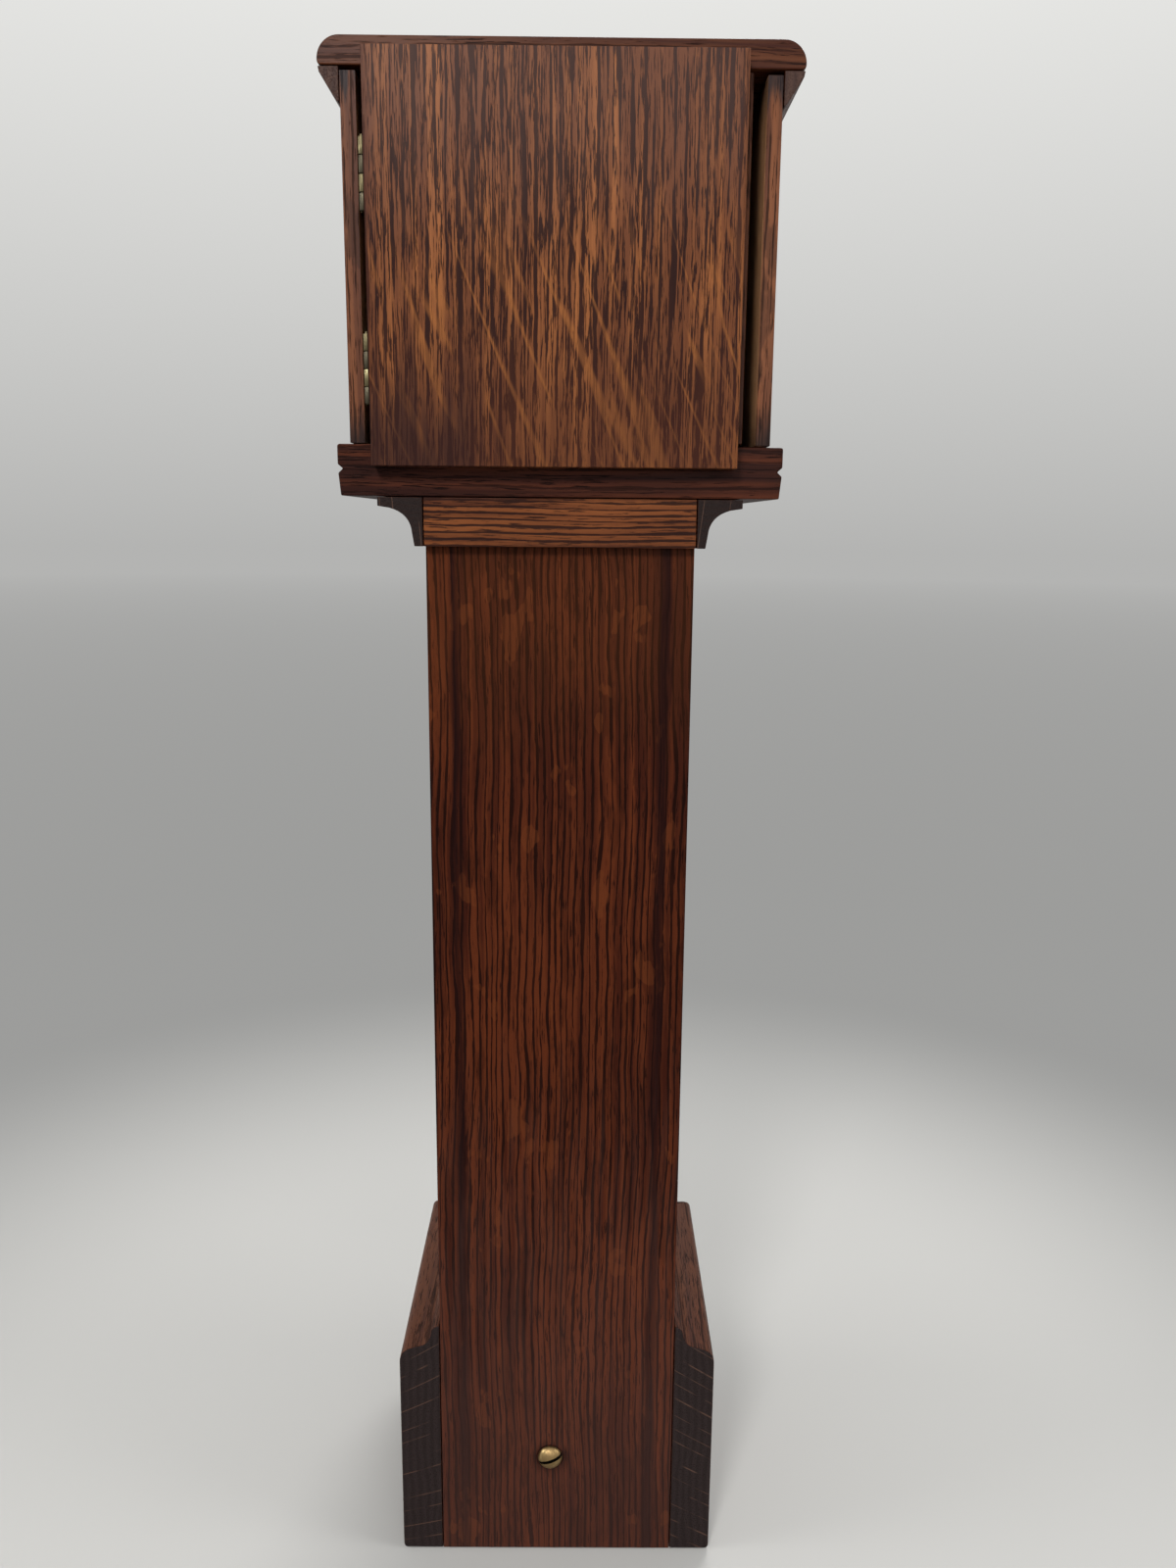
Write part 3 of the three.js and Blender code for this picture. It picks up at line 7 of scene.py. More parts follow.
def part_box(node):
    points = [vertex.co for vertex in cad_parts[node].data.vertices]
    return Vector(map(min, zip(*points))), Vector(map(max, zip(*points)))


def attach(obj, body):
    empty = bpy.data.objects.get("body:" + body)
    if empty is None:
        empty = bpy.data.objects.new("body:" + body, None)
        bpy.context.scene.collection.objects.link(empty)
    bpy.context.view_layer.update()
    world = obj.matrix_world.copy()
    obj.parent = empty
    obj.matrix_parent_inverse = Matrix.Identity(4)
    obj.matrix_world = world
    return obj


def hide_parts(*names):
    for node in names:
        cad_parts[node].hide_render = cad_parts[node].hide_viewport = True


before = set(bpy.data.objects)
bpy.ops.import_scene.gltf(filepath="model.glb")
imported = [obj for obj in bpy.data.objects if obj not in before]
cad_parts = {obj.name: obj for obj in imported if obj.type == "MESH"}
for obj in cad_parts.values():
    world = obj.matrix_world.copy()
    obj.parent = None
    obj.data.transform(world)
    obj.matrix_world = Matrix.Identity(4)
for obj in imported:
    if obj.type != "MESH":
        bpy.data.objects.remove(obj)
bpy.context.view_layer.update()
MM = 0.001

# TRUNK
# Four oak boards, 6 mm thick, glued edge to edge round an empty shaft. They are quarter-sawn, so
# the pores run up them in close dark lines, and they were fumed and waxed to a red-brown satin.


def place(tree, kind, sockets=(), **settings):
    """Puts a shader node in a tree and joins or sets its sockets."""
    node = tree.nodes.new(kind)
    for name, value in settings.items():
        setattr(node, name, value)
    for socket, value in dict(sockets).items():
        if isinstance(value, bpy.types.NodeSocket):
            tree.links.new(value, node.inputs[socket])
        else:
            node.inputs[socket].default_value = value
    return node


def sums(tree, operation, a, b=0.0):
    return place(tree, "ShaderNodeMath", {0: a, 1: b}, operation=operation).outputs[0]


def plus(tree, a, b):
    return sums(tree, "ADD", a, b)


def less(tree, a, b):
    return sums(tree, "SUBTRACT", a, b)


def times(tree, a, b):
    return sums(tree, "MULTIPLY", a, b)


def larger(tree, a, b):
    return sums(tree, "MAXIMUM", a, b)


def fade(tree, value, start, end):
    """0 below start, 1 above end, and a smooth rise between them."""
    sockets = {"Value": value, "From Min": start, "From Max": end}
    return place(tree, "ShaderNodeMapRange", sockets, interpolation_type="SMOOTHSTEP").outputs[0]


def tint(tree, share, under, over):
    return place(tree, "ShaderNodeMix", {0: share, 6: under, 7: over}, data_type="RGBA").outputs[2]


def speckle(tree, vector, stretch, detail=2.0, roughness=0.5):
    """Noise drawn out along the axes: stretch is its cells per metre along x, y and z."""
    scaled = place(tree, "ShaderNodeVectorMath", {0: vector, 1: stretch}, operation="MULTIPLY").outputs[0]
    sockets = {"Vector": scaled, "Scale": 1.0, "Detail": detail, "Roughness": roughness}
    return place(tree, "ShaderNodeTexNoise", sockets).outputs["Fac"]


def effect(name, inputs, outputs):
    """A node group that reads a place; each of its named inputs has its usual value."""
    tree = bpy.data.node_groups.new(name, "ShaderNodeTree")
    kinds = {float: "NodeSocketFloat", tuple: "NodeSocketColor", str: "NodeSocketVector"}
    for label, value in {"Vector": "object", **inputs}.items():
        socket = tree.interface.new_socket(name=label, in_out="INPUT", socket_type=kinds[type(value)])
        if not isinstance(value, str):
            socket.default_value = value
    for label, kind in outputs.items():
        tree.interface.new_socket(name=label, in_out="OUTPUT", socket_type="NodeSocket" + kind)
    return tree, tree.nodes.new("NodeGroupInput").outputs, tree.nodes.new("NodeGroupOutput")


def give(tree, node, **results):
    """Joins results to the sockets of a node that they are named after."""
    for label, value in results.items():
        tree.links.new(value, node.inputs[label.replace("_", " ")])


SKIN = {"Color": "Color", "Roughness": "Float", "Height": "Float"}


def quartered_oak():
    """Long grain: ragged dark lines at every ring, Wide broadens them, and pale ray flecks across them."""
    tree, given, out = effect(
        "quartered oak",
        {
            "Light": (0.3, 0.1, 0.03, 1.0), "Dark": (0.1, 0.03, 0.01, 1.0),
            "Pore": (0.02, 0.008, 0.005, 1.0), "Fleck": (0.45, 0.2, 0.06, 1.0), "Ring": 0.0034,
            "Sway": 0.001, "Lines": 0.9, "Wide": 0.0, "Breaks": 1.0, "Pores": 0.5, "Flecks": 0.3,
            "Slant": 0.5, "Curl": 0.0, "Fleck Top": 10.0, "Blotches": 0.0, "Blanks": 0.0,
        },
        SKIN,
    )
    vector = given["Vector"]
    axes = place(tree, "ShaderNodeSeparateXYZ", {0: vector}).outputs
    # Rings that wander as they rise, and one dark line for each of them.
    slow = less(tree, speckle(tree, vector, (15, 15, 8)), 0.5)
    quick = less(tree, speckle(tree, vector, (70, 70, 34)), 0.5)
    bend = plus(tree, slow, times(tree, quick, 0.3))
    shift = times(tree, bend, times(tree, given["Sway"], 4.0))
    across = plus(tree, axes[0], times(tree, axes[1], 0.45))
    across = plus(tree, across, shift)
    grain = place(tree, "ShaderNodeCombineXYZ", {0: across, 1: axes[1], 2: axes[2]}).outputs[0]
    uneven = less(tree, speckle(tree, vector, (90, 90, 4)), 0.5)
    count = plus(tree, sums(tree, "DIVIDE", across, given["Ring"]), times(tree, uneven, 2.4))
    saw = sums(tree, "ABSOLUTE", less(tree, sums(tree, "FRACT", count), 0.5))
    ragged = times(tree, speckle(tree, grain, (2400, 2400, 150), 2.5, 0.6), 0.9)
    broken = less(tree, speckle(tree, grain, (330, 330, 36), 2.5), 0.5)
    broken = times(tree, broken, times(tree, given["Breaks"], 1.7))
    line = plus(tree, times(tree, saw, 2.5), plus(tree, ragged, broken))
    line = fade(tree, plus(tree, line, given["Wide"]), 1.44, 1.6)
    line = times(tree, line, given["Lines"])
    # Single pores between the lines, closer together in patches.
    patch = fade(tree, speckle(tree, vector, (42, 42, 22), 2.0), 0.42, 0.62)
    limit = less(tree, 0.66, times(tree, given["Pores"], 0.16))
    limit = less(tree, limit, times(tree, patch, 0.05))
    dashes = speckle(tree, grain, (2600, 2600, 130), 3.0, 0.6)
    pore = fade(tree, dashes, limit, plus(tree, limit, 0.045))
    # Ray flecks that lean across the grain, and blank places without any.
    slant = plus(tree, given["Slant"], times(tree, axes[2], given["Curl"]))
    slanted = less(tree, across, times(tree, axes[2], slant))
    rays = place(tree, "ShaderNodeCombineXYZ", {0: slanted, 1: axes[1], 2: axes[2]}).outputs[0]
    contour = sums(tree, "ABSOLUTE", less(tree, speckle(tree, rays, (150, 150, 13), 0.6), 0.5))
    fleck = less(tree, 1.0, fade(tree, contour, 0.006, 0.05))
    fleck = times(tree, fleck, fade(tree, speckle(tree, rays, (160, 160, 22), 1.0), 0.4, 0.52))
    top = less(tree, given["Fleck Top"], 0.05)
    below = less(tree, 1.0, fade(tree, axes[2], top, given["Fleck Top"]))
    fleck = times(tree, times(tree, fleck, below), given["Flecks"])
    blank = fade(tree, speckle(tree, vector, (95, 95, 48), 3.0, 0.6), 0.63, 0.65)
    fleck = larger(tree, fleck, times(tree, blank, given["Blanks"]))
    # The colour: clouds and bands, blotches, flecks, then the lines and pores over them.
    cloud = speckle(tree, vector, (26, 26, 11), 3.0)
    bands = speckle(tree, grain, (420, 420, 7), 3.0, 0.6)
    fibre = speckle(tree, grain, (5200, 5200, 160))
    tone = plus(tree, times(tree, cloud, 1.1), times(tree, bands, 1.3))
    color = tint(tree, fade(tree, tone, 0.95, 1.45), given["Light"], given["Dark"])
    color = tint(tree, times(tree, fibre, 0.3), color, given["Dark"])
    blotch = fade(tree, speckle(tree, grain, (150, 150, 40), 4.0, 0.62), 0.55, 0.63)
    color = tint(tree, times(tree, blotch, given["Blotches"]), color, given["Pore"])
    color = tint(tree, fleck, color, given["Fleck"])
    marks = larger(tree, line, pore)
    clear = less(tree, 1.0, times(tree, fleck, 0.9))
    marks = times(tree, marks, clear)
    color = tint(tree, times(tree, marks, 0.92), color, given["Pore"])
    rough = plus(tree, 0.36, times(tree, marks, 0.3))
    rough = plus(tree, rough, times(tree, cloud, 0.12))
    height = less(tree, times(tree, fibre, 0.15), marks)
    give(tree, out, Color=color, Roughness=rough, Height=height)
    return tree


def stains_and_painted_light():
    """Where a stain, painted light or painted shade lies: a band each side of a board's middle, its foot,
    its head, or one spot.
    """
    tree, given, out = effect(
        "stains, painted light and shade",
        {
            "From": 1.0, "To": 2.0, "Feather": 0.004, "Foot": -1.0, "Foot Feather": 0.03,
            "Head": 9.0, "Head Feather": 0.03, "Spot": "object", "Reach": 0.0001,
        },
        {"Mask": "Float"},
    )
    axes = place(tree, "ShaderNodeSeparateXYZ", {0: given["Vector"]}).outputs
    ragged = less(tree, speckle(tree, given["Vector"], (420, 420, 30), 3.0), 0.5)
    drift = times(tree, ragged, times(tree, given["Feather"], 2.0))
    side = plus(tree, sums(tree, "ABSOLUTE", axes[0]), drift)
    near = fade(tree, side, given["From"], plus(tree, given["From"], given["Feather"]))
    past = fade(tree, side, given["To"], plus(tree, given["To"], given["Feather"]))
    up = plus(tree, axes[2], times(tree, ragged, given["Foot Feather"]))
    above = fade(tree, up, given["Foot"], plus(tree, given["Foot"], given["Foot Feather"]))
    head = fade(tree, up, given["Head"], plus(tree, given["Head"], given["Head Feather"]))
    away = place(tree, "ShaderNodeVectorMath", {0: given["Vector"], 1: given["Spot"]}, operation="DISTANCE")
    drift = times(tree, ragged, times(tree, given["Reach"], 1.2))
    away = plus(tree, away.outputs["Value"], drift)
    clear = fade(tree, away, times(tree, given["Reach"], 0.3), given["Reach"])
    mask = larger(tree, less(tree, near, past), less(tree, 1.0, above))
    mask = larger(tree, mask, larger(tree, head, less(tree, 1.0, clear)))
    give(tree, out, Mask=mask)
    return tree


oak_figure = quartered_oak()
stain_and_light_figure = stains_and_painted_light()
# How the grain lies: up or level, on a board across the clock or on one along its side.
UPRIGHT = (0.0, 0.0, 0.0)
UPRIGHT_SIDE = (0.0, 0.0, radians(90))
LEVEL = (0.0, radians(90), 0.0)
LEVEL_SIDE = (radians(90), 0.0, radians(90))


def figured(tree, group, vector, values):
    """Puts a node group in a tree and sets its named inputs; a colour may leave out its alpha."""
    node = place(tree, "ShaderNodeGroup", {"Vector": vector}, node_tree=group)
    for label, value in values.items():
        socket = node.inputs[label.replace("_", " ").title()]
        socket.default_value = (*value, 1.0) if socket.type == "RGBA" and len(value) == 3 else value
    return node.outputs


def new_material(name):
    """A material, its node tree, its shader, and the place on the piece that it reads."""
    material = bpy.data.materials.new(name)
    material.use_nodes = True
    tree = material.node_tree
    where = place(tree, "ShaderNodeTexCoord").outputs["Object"]
    return material, tree, tree.nodes["Principled BSDF"], where


def relief(tree, shader, strength, depth, height):
    """Lets a pattern stand out from the surface; depth is in metres."""
    bump = place(tree, "ShaderNodeBump", {"Strength": strength, "Distance": depth, "Height": height})
    give(tree, shader, Normal=bump.outputs[0])


def waxed_oak(name, light, dark, turn=UPRIGHT, at=(0, 0, 0), middle=0.0, bands=(), gloss=0.09, **figure):
    """Finished oak: turn brings its grain upright, at picks another stretch of the plank.

    Each of bands is the share and colour of a stain, of painted light or of painted shade, and where it
    lies about middle.
    """
    material, tree, shader, where = new_material(name)
    plank = place(tree, "ShaderNodeMapping", {"Vector": where, "Rotation": turn, "Location": at})
    pore, fleck = tuple(0.22 * c for c in dark), tuple(min(1.0, 1.45 * c) for c in light)
    figure = {"light": light, "dark": dark, "pore": pore, "fleck": fleck, **figure}
    wood = figured(tree, oak_figure, plank.outputs[0], figure)
    color = wood["Color"]
    for share, stain_and_light_color, band in bands:
        board = place(tree, "ShaderNodeMapping", {"Vector": where, "Location": (-middle, 0, 0)})
        mask = figured(tree, stain_and_light_figure, board.outputs[0], band)["Mask"]
        color = tint(tree, times(tree, mask, share), color, (*stain_and_light_color, 1.0))
    give(tree, shader, Base_Color=color, Roughness=wood["Roughness"])
    shader.inputs["Specular IOR Level"].default_value = gloss
    shader.inputs["Coat Weight"].default_value = 0.03
    shader.inputs["Coat Roughness"].default_value = 0.3
    relief(tree, shader, 0.5, 0.00012, wood["Height"])
    return material


def in_scene(name, data):
    """Adds a new object to the scene."""
    thing = bpy.data.objects.new(name, data)
    bpy.context.scene.collection.objects.link(thing)
    return thing


SAME_CORNER, FLAT_ANGLE, EDGE_ANGLE, SHADE_ANGLE = 1e-6, radians(0.5), radians(28), radians(16)


def rounded(bm, edges, ease, steps):
    """Takes the sharpness off edges, over a width in millimetres."""
    bmesh.ops.bevel(
        bm, geom=edges, offset=ease * MM, offset_type="OFFSET", affect="EDGES", segments=steps,
        profile=0.5, material=-1, clamp_overlap=True,
    )


def as_mesh(name, bm):
    mesh = bpy.data.meshes.new(name)
    bm.to_mesh(mesh)
    bm.free()
    return mesh


def finished(name, bm, angle, materials, body, stands_for):
    """Puts a piece in the scene in its materials, on the body that it moves with."""
    for face in bm.faces:
        face.smooth = True
    mesh = as_mesh(name, bm)
    mesh.set_sharp_from_angle(angle=angle)
    for material in filter(None, materials):
        mesh.materials.append(material)
    piece = in_scene(name, mesh)
    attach(piece, body)
    if stands_for:
        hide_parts(*stands_for)


def eased(node, body, material, ease=0.35, steps=2, second=None, where=None):
    """The piece's own shape, eased by sandpaper or a file; where picks the faces in the second material."""
    bm = bmesh.new()
    bm.from_mesh(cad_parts[node].data)
    bmesh.ops.remove_doubles(bm, verts=bm.verts, dist=SAME_CORNER)
    bmesh.ops.dissolve_limit(bm, angle_limit=FLAT_ANGLE, verts=bm.verts, edges=bm.edges)
    rounded(bm, [e for e in bm.edges if e.is_manifold and e.calc_face_angle() > EDGE_ANGLE], ease, steps)
    bm.normal_update()
    for face in bm.faces if where else ():
        face.material_index = int(where(face))
    finished(node + "_eased", bm, SHADE_ANGLE, (material, second), body, [node])


def sawn_across(axis):
    """Picks the faces that the saw cut across the grain."""
    return lambda face: abs(face.normal[axis]) > 0.8


RED_BROWN = (0.09, 0.0195, 0.0058)
RED_DARK = (0.034, 0.0068, 0.0031)
TRUNK_STAIN = (0.01, 0.0024, 0.0022)
trunk_oak = waxed_oak(
    "trunk oak", (0.096, 0.021, 0.0066), RED_DARK, at=(0.21, 0.0, 0.13), ring=0.0022, sway=0.0018,
    lines=1.0, wide=0.17, pores=0.3, flecks=0.1, slant=0.2, breaks=0.62, blotches=0.3, blanks=0.42,
    fleck=(0.12, 0.03, 0.0085), gloss=0.035,
    bands=[(0.08, (0.2, 0.066, 0.018), {"head": 0.26, "head_feather": 0.05}),
           (0.85, TRUNK_STAIN, {"from": 0.0275, "to": 0.0303, "feather": 0.003}),
           (0.7, TRUNK_STAIN, {"from": 0.0374, "feather": 0.0012, "head": 0.3415, "head_feather": 0.004}),
           (0.2, (0.115, 0.063, 0.052), {"foot": 0.03, "foot_feather": 0.16}),
           # A dark ring of painted shadow round the base screw's head.
           (0.85, (0.012, 0.005, 0.004), {"spot": (0.0022, 0.0476, 0.0351), "reach": 0.0072})],
)
trunk_side_oak = waxed_oak(
    "trunk side oak", RED_BROWN, RED_DARK, turn=UPRIGHT_SIDE, at=(0.4, 0.1, 0.0), ring=0.003, sway=0.002,
    lines=0.8, pores=0.5, flecks=0.15, slant=-0.3, blotches=0.3,
)
trunk_front_oak = waxed_oak(
    "trunk front oak", (0.14, 0.042, 0.013), RED_DARK, at=(0.63, 0.0, 0.4), ring=0.0032, sway=0.0014,
    lines=0.8, pores=0.5, flecks=0.22, slant=0.3, blotches=0.25,
)
eased("trunk_back", "case", trunk_oak)
for side in ("left", "right"):
    eased("trunk_side_" + side, "case", trunk_side_oak)
eased("trunk_front", "case", trunk_front_oak)

# BASE BLOCK
# A block of plain oak let into the foot of the trunk. It keeps the shaft square and takes the screw.
block_oak = waxed_oak(
    "base block oak", (0.36, 0.19, 0.08), (0.2, 0.09, 0.035), turn=LEVEL, lines=0.4, pores=0.3, flecks=0.1,
)
eased("base_block", "case", block_oak)

# PLINTH
# Three thick oak boards with a moulded top edge, mitred at the front corners and glued round the
# trunk. Seen from behind they show end grain, which took the stain almost black, with pale rays.


def sawn_end():
    """End grain: curved growth rings, dots of pores, and thin straight rays that fan out across them."""
    tree, given, out = effect(
        "sawn end",
        {
            "Base": (0.0205, 0.0125, 0.012, 1.0), "Ring": (0.011, 0.006, 0.0055, 1.0),
            "Ray": (0.095, 0.05, 0.034, 1.0), "Spacing": 0.006, "Rings": 0.0024, "Slope": 0.3, "Fan": 0.0,
        },
        SKIN,
    )
    vector = given["Vector"]
    axes = place(tree, "ShaderNodeSeparateXYZ", {0: vector}).outputs
    wander = less(tree, speckle(tree, vector, (60, 60, 60), 2.0), 0.5)
    slope = plus(tree, given["Slope"], times(tree, axes[2], given["Fan"]))
    along = plus(tree, axes[2], times(tree, axes[0], slope))
    own = place(tree, "ShaderNodeCombineXYZ", {0: along}).outputs[0]
    jump = times(tree, speckle(tree, own, (70, 1, 1), 1.0), 1.8)
    cell = plus(tree, sums(tree, "DIVIDE", along, given["Spacing"]), jump)
    off = sums(tree, "ABSOLUTE", less(tree, sums(tree, "FRACT", cell), 0.5))
    ray = less(tree, 1.0, fade(tree, off, 0.01, 0.045))
    ray = times(tree, ray, fade(tree, speckle(tree, vector, (90, 90, 260), 2.0), 0.38, 0.58))
    turn = plus(tree, axes[0], times(tree, wander, 0.004))
    turn = sums(tree, "DIVIDE", turn, given["Rings"])
    ring = sums(tree, "ABSOLUTE", less(tree, sums(tree, "FRACT", turn), 0.5))
    ring = fade(tree, ring, 0.12, 0.42)
    dots = fade(tree, speckle(tree, vector, (2600, 2600, 2600), 1.0), 0.5, 0.62)
    color = tint(tree, times(tree, ring, 0.6), given["Base"], given["Ring"])
    color = tint(tree, times(tree, dots, 0.6), color, given["Ring"])
    color = tint(tree, times(tree, ray, 0.75), color, given["Ray"])
    rough = plus(tree, 0.55, times(tree, dots, 0.2))
    height = less(tree, times(tree, ray, 0.3), dots)
    give(tree, out, Color=color, Roughness=rough, Height=height)
    return tree


end_figure = sawn_end()


def stained_end(name, turn=UPRIGHT, at=(0, 0, 0), gloss=0.14, **figure):
    """Stained end grain: turn and at bring the pattern's own x and z onto the sawn face."""
    material, tree, shader, where = new_material(name)
    face = place(tree, "ShaderNodeMapping", {"Vector": where, "Rotation": turn, "Location": at})
    grain = figured(tree, end_figure, face.outputs[0], figure)
    give(tree, shader, Base_Color=grain["Color"], Roughness=grain["Roughness"])
    shader.inputs["Specular IOR Level"].default_value = gloss
    relief(tree, shader, 0.4, 0.0001, grain["Height"])
    return material


PLINTH_BROWN = (0.1, 0.03, 0.011)
plinth_oak = waxed_oak(
    "plinth oak", PLINTH_BROWN, RED_DARK, turn=LEVEL_SIDE, at=(0.3, 0.2, 0.5), ring=0.0032, lines=0.8,
    flecks=0.15,
)
plinth_front_oak = waxed_oak(
    "plinth front oak", PLINTH_BROWN, RED_DARK, turn=LEVEL, at=(0.8, 0.2, 0.5), ring=0.0032, lines=0.8,
    flecks=0.2,
)
plinth_end_left = stained_end("plinth end left", at=(-0.0384, 0, 0), spacing=0.0068, slope=0.16, fan=6.2)
plinth_end_right = stained_end(
    "plinth end right", at=(0.0384, 0, 0.05), spacing=0.0058, slope=-0.42, fan=-1.8,
)
eased("plinth_side_left", "case", plinth_oak, 0.3, 2, plinth_end_left, sawn_across(1))
eased("plinth_side_right", "case", plinth_oak, 0.3, 2, plinth_end_right, sawn_across(1))
eased("plinth_front", "case", plinth_front_oak, 0.3)

# BASE SCREW
# A slotted brass wood screw with a round head, driven through the back board into the base block.
# Its head has dulled to a warm ochre, and round it the back board is darkened in a ring of painted shadow.


def tarnish():
    """Old brass: brown blotches of tarnish spread at random over the brighter metal."""
    tree, given, out = effect(
        "tarnish",
        {
            "Bright": (0.6, 0.42, 0.17, 1.0), "Dull": (0.2, 0.11, 0.035, 1.0),
            "Age": 0.5, "Grain": 900.0,
        },
        SKIN,
    )
    vector = given["Vector"]
    blotch = speckle(tree, vector, (240, 240, 240), 4.0, 0.6)
    limit = less(tree, 0.75, times(tree, given["Age"], 0.4))
    blotch = fade(tree, blotch, less(tree, limit, 0.18), limit)
    scaled = place(tree, "ShaderNodeVectorMath", {0: vector, 3: given["Grain"]}, operation="SCALE")
    lines = place(tree, "ShaderNodeTexNoise", {"Vector": scaled.outputs[0], "Scale": 3.0, "Detail": 3.0})
    lines = lines.outputs["Fac"]
    color = tint(tree, times(tree, blotch, 0.65), given["Bright"], given["Dull"])
    rough = plus(tree, 0.27, times(tree, blotch, 0.16))
    rough = plus(tree, rough, times(tree, lines, 0.1))
    height = plus(tree, lines, times(tree, blotch, 0.12))
    give(tree, out, Color=color, Roughness=rough, Height=height)
    return tree


tarnish_figure = tarnish()


def metal(name, bright, dull, age=0.5, grain=900.0):
    """Brass or steel: age is how far the dull colour has spread, grain how fine the file marks are."""
    material, tree, shader, where = new_material(name)
    values = {"bright": bright, "dull": dull, "age": age, "grain": grain}
    skin = figured(tree, tarnish_figure, where, values)
    give(tree, shader, Base_Color=skin["Color"], Roughness=skin["Roughness"])
    shader.inputs["Metallic"].default_value = 1.0
    relief(tree, shader, 0.3, 0.00001, skin["Height"])
    return material


SAME_POINT = 1e-7


def shown(name, bm, body, slot, material, *stands_for, second=None):
    """A new piece, with its doubled corners merged and its faces turned outwards."""
    bmesh.ops.remove_doubles(bm, verts=bm.verts, dist=SAME_POINT)
    bmesh.ops.recalc_face_normals(bm, faces=bm.faces)
    if bm.calc_volume(signed=True) < 0:
        bmesh.ops.reverse_faces(bm, faces=bm.faces)
    finished(name, bm, EDGE_ANGLE, (material, second), body, stands_for)


def lathe(outline, steps=48, ring=False):
    """Spins an outline of (radius, distance along y) points into a turned shape, or into a ring."""
    bm = bmesh.new()
    points = [bm.verts.new((r * MM, y * MM, 0.0)) for r, y in outline]
    follows = points[1:] + points[:1] if ring else points[1:]
    edges = [bm.edges.new(pair) for pair in zip(points, follows)]
    bmesh.ops.spin(
        bm, geom=points + edges, cent=(0, 0, 0), axis=(0, 1, 0), angle=2 * pi, steps=steps, use_merge=True,
    )
    bmesh.ops.remove_doubles(bm, verts=bm.verts, dist=SAME_POINT)
    return bm


def in_order(bm):
    """The same shape with its corners and faces numbered by place, so that every run cuts it alike.

    Two faces on the same corners are a flat fold, and both are dropped.
    """
    bmesh.ops.remove_doubles(bm, verts=bm.verts, dist=SAME_POINT)
    corners = sorted(bm.verts, key=lambda v: tuple(round(c / SAME_CORNER) for c in v.co))
    number = {corner: n for n, corner in enumerate(corners)}
    rings = {}
    for face in bm.faces:
        ring = [number[corner] for corner in face.verts]
        first = ring.index(min(ring))
        rings.setdefault(tuple(sorted(ring)), []).append(ring[first:] + ring[:first])
    fresh = bmesh.new()
    places = [fresh.verts.new([round(c, 7) for c in v.co]) for v in corners]
    for same in sorted(rings.values()):
        if len(same) == 1:
            fresh.faces.new([places[n] for n in same[0]])
    bm.free()
    return fresh


def carved(bm, tool, how="DIFFERENCE"):
    """Cuts one closed shape out of another, as a saw or a drill does, or joins the two."""
    pair = []
    for shape in (bm, tool):
        bmesh.ops.recalc_face_normals(shape, faces=shape.faces)
        pair.append(in_scene("blank", as_mesh("blank", shape)))
    cut = pair[0].modifiers.new("cut", "BOOLEAN")
    cut.operation, cut.solver, cut.object = how, "EXACT", pair[1]
    held = pair[0].evaluated_get(bpy.context.evaluated_depsgraph_get())
    left = bmesh.new()
    left.from_mesh(held.to_mesh())
    held.to_mesh_clear()
    for blank in pair:
        bpy.data.meshes.remove(blank.data)
    return in_order(left)


def block(low, high):
    """A square-cornered block between two corners, in millimetres."""
    bm = bmesh.new()
    size = [h - l for l, h in zip(low, high)]
    middle = [(h + l) / 2 for l, h in zip(low, high)]
    bmesh.ops.create_cube(bm, size=1.0)
    bmesh.ops.scale(bm, verts=bm.verts, vec=[s * MM for s in size])
    bmesh.ops.translate(bm, verts=bm.verts, vec=[m * MM for m in middle])
    return bm


DOME_STEPS, RIM, THREAD_FOOT, THREAD_SPAN, THREAD_ROOT = 8, 0.02, 0.8, 0.5, 0.72


def wood_screw(head, dome, sink, shank, length, slot_width, slot_depth, threads):
    """A slotted screw along -y with its head's rim at y = 0, a dome above it and a cone below."""
    crown = [(head, 0), (0, 0)]
    if dome:
        rise = [radians(90 * i / DOME_STEPS) for i in range(DOME_STEPS + 1)]
        crown = [(head * cos(a), dome * sin(a)) for a in rise]
    shaft = [(0, -length), (shank * 0.3, -length * 0.93), (shank * 0.75, -length * THREAD_FOOT)]
    turns = threads * 2
    for i in range(turns + 1):
        y = -length * THREAD_FOOT + i * length * THREAD_SPAN / turns
        shaft.append((shank * (1.0 if i % 2 else THREAD_ROOT), y))
    shaft += [(shank, -length * 0.28), (shank, -max(sink, RIM / 2))]
    rim = [(head, -RIM)] if sink == 0 else []
    half = slot_width / 2
    saw = block((-head * 1.2, dome - slot_depth, -half), (head * 1.2, dome + 1, half))
    bm = carved(lathe(shaft + rim + crown), saw)
    for face in bm.faces:
        face.material_index = int(all(abs(v.co.z) < (half + 0.001) * MM for v in face.verts))
    return bm


def middle(node):
    """The middle of a node's box, which is a screw's or a wheel's own centre."""
    low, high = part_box(node)
    return (low + high) / 2


foot_brass = metal("foot screw brass", (0.44, 0.31, 0.14), (0.2, 0.125, 0.055), 0.6)
trunk_back_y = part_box("trunk_back")[1].y
screw = wood_screw(
    head=4.05, dome=2.5, sink=0, shank=1.95, length=22, slot_width=1.1, slot_depth=1.5, threads=9,
)
turned = Matrix.Rotation(radians(19), 3, "Y")
bmesh.ops.rotate(screw, verts=screw.verts, cent=(0, 0, 0), matrix=turned)
screw_at = (middle("base_screw").x, trunk_back_y, middle("base_screw").z)
bmesh.ops.translate(screw, verts=screw.verts, vec=screw_at)
# The inside of a screw's slot is painted near-black.
black_slot = metal("black slot", (0.02, 0.014, 0.009), (0.012, 0.009, 0.007), 0.8)
shown("base_screw_turned", screw, "case", "brass", foot_brass, "base_screw", second=black_slot)

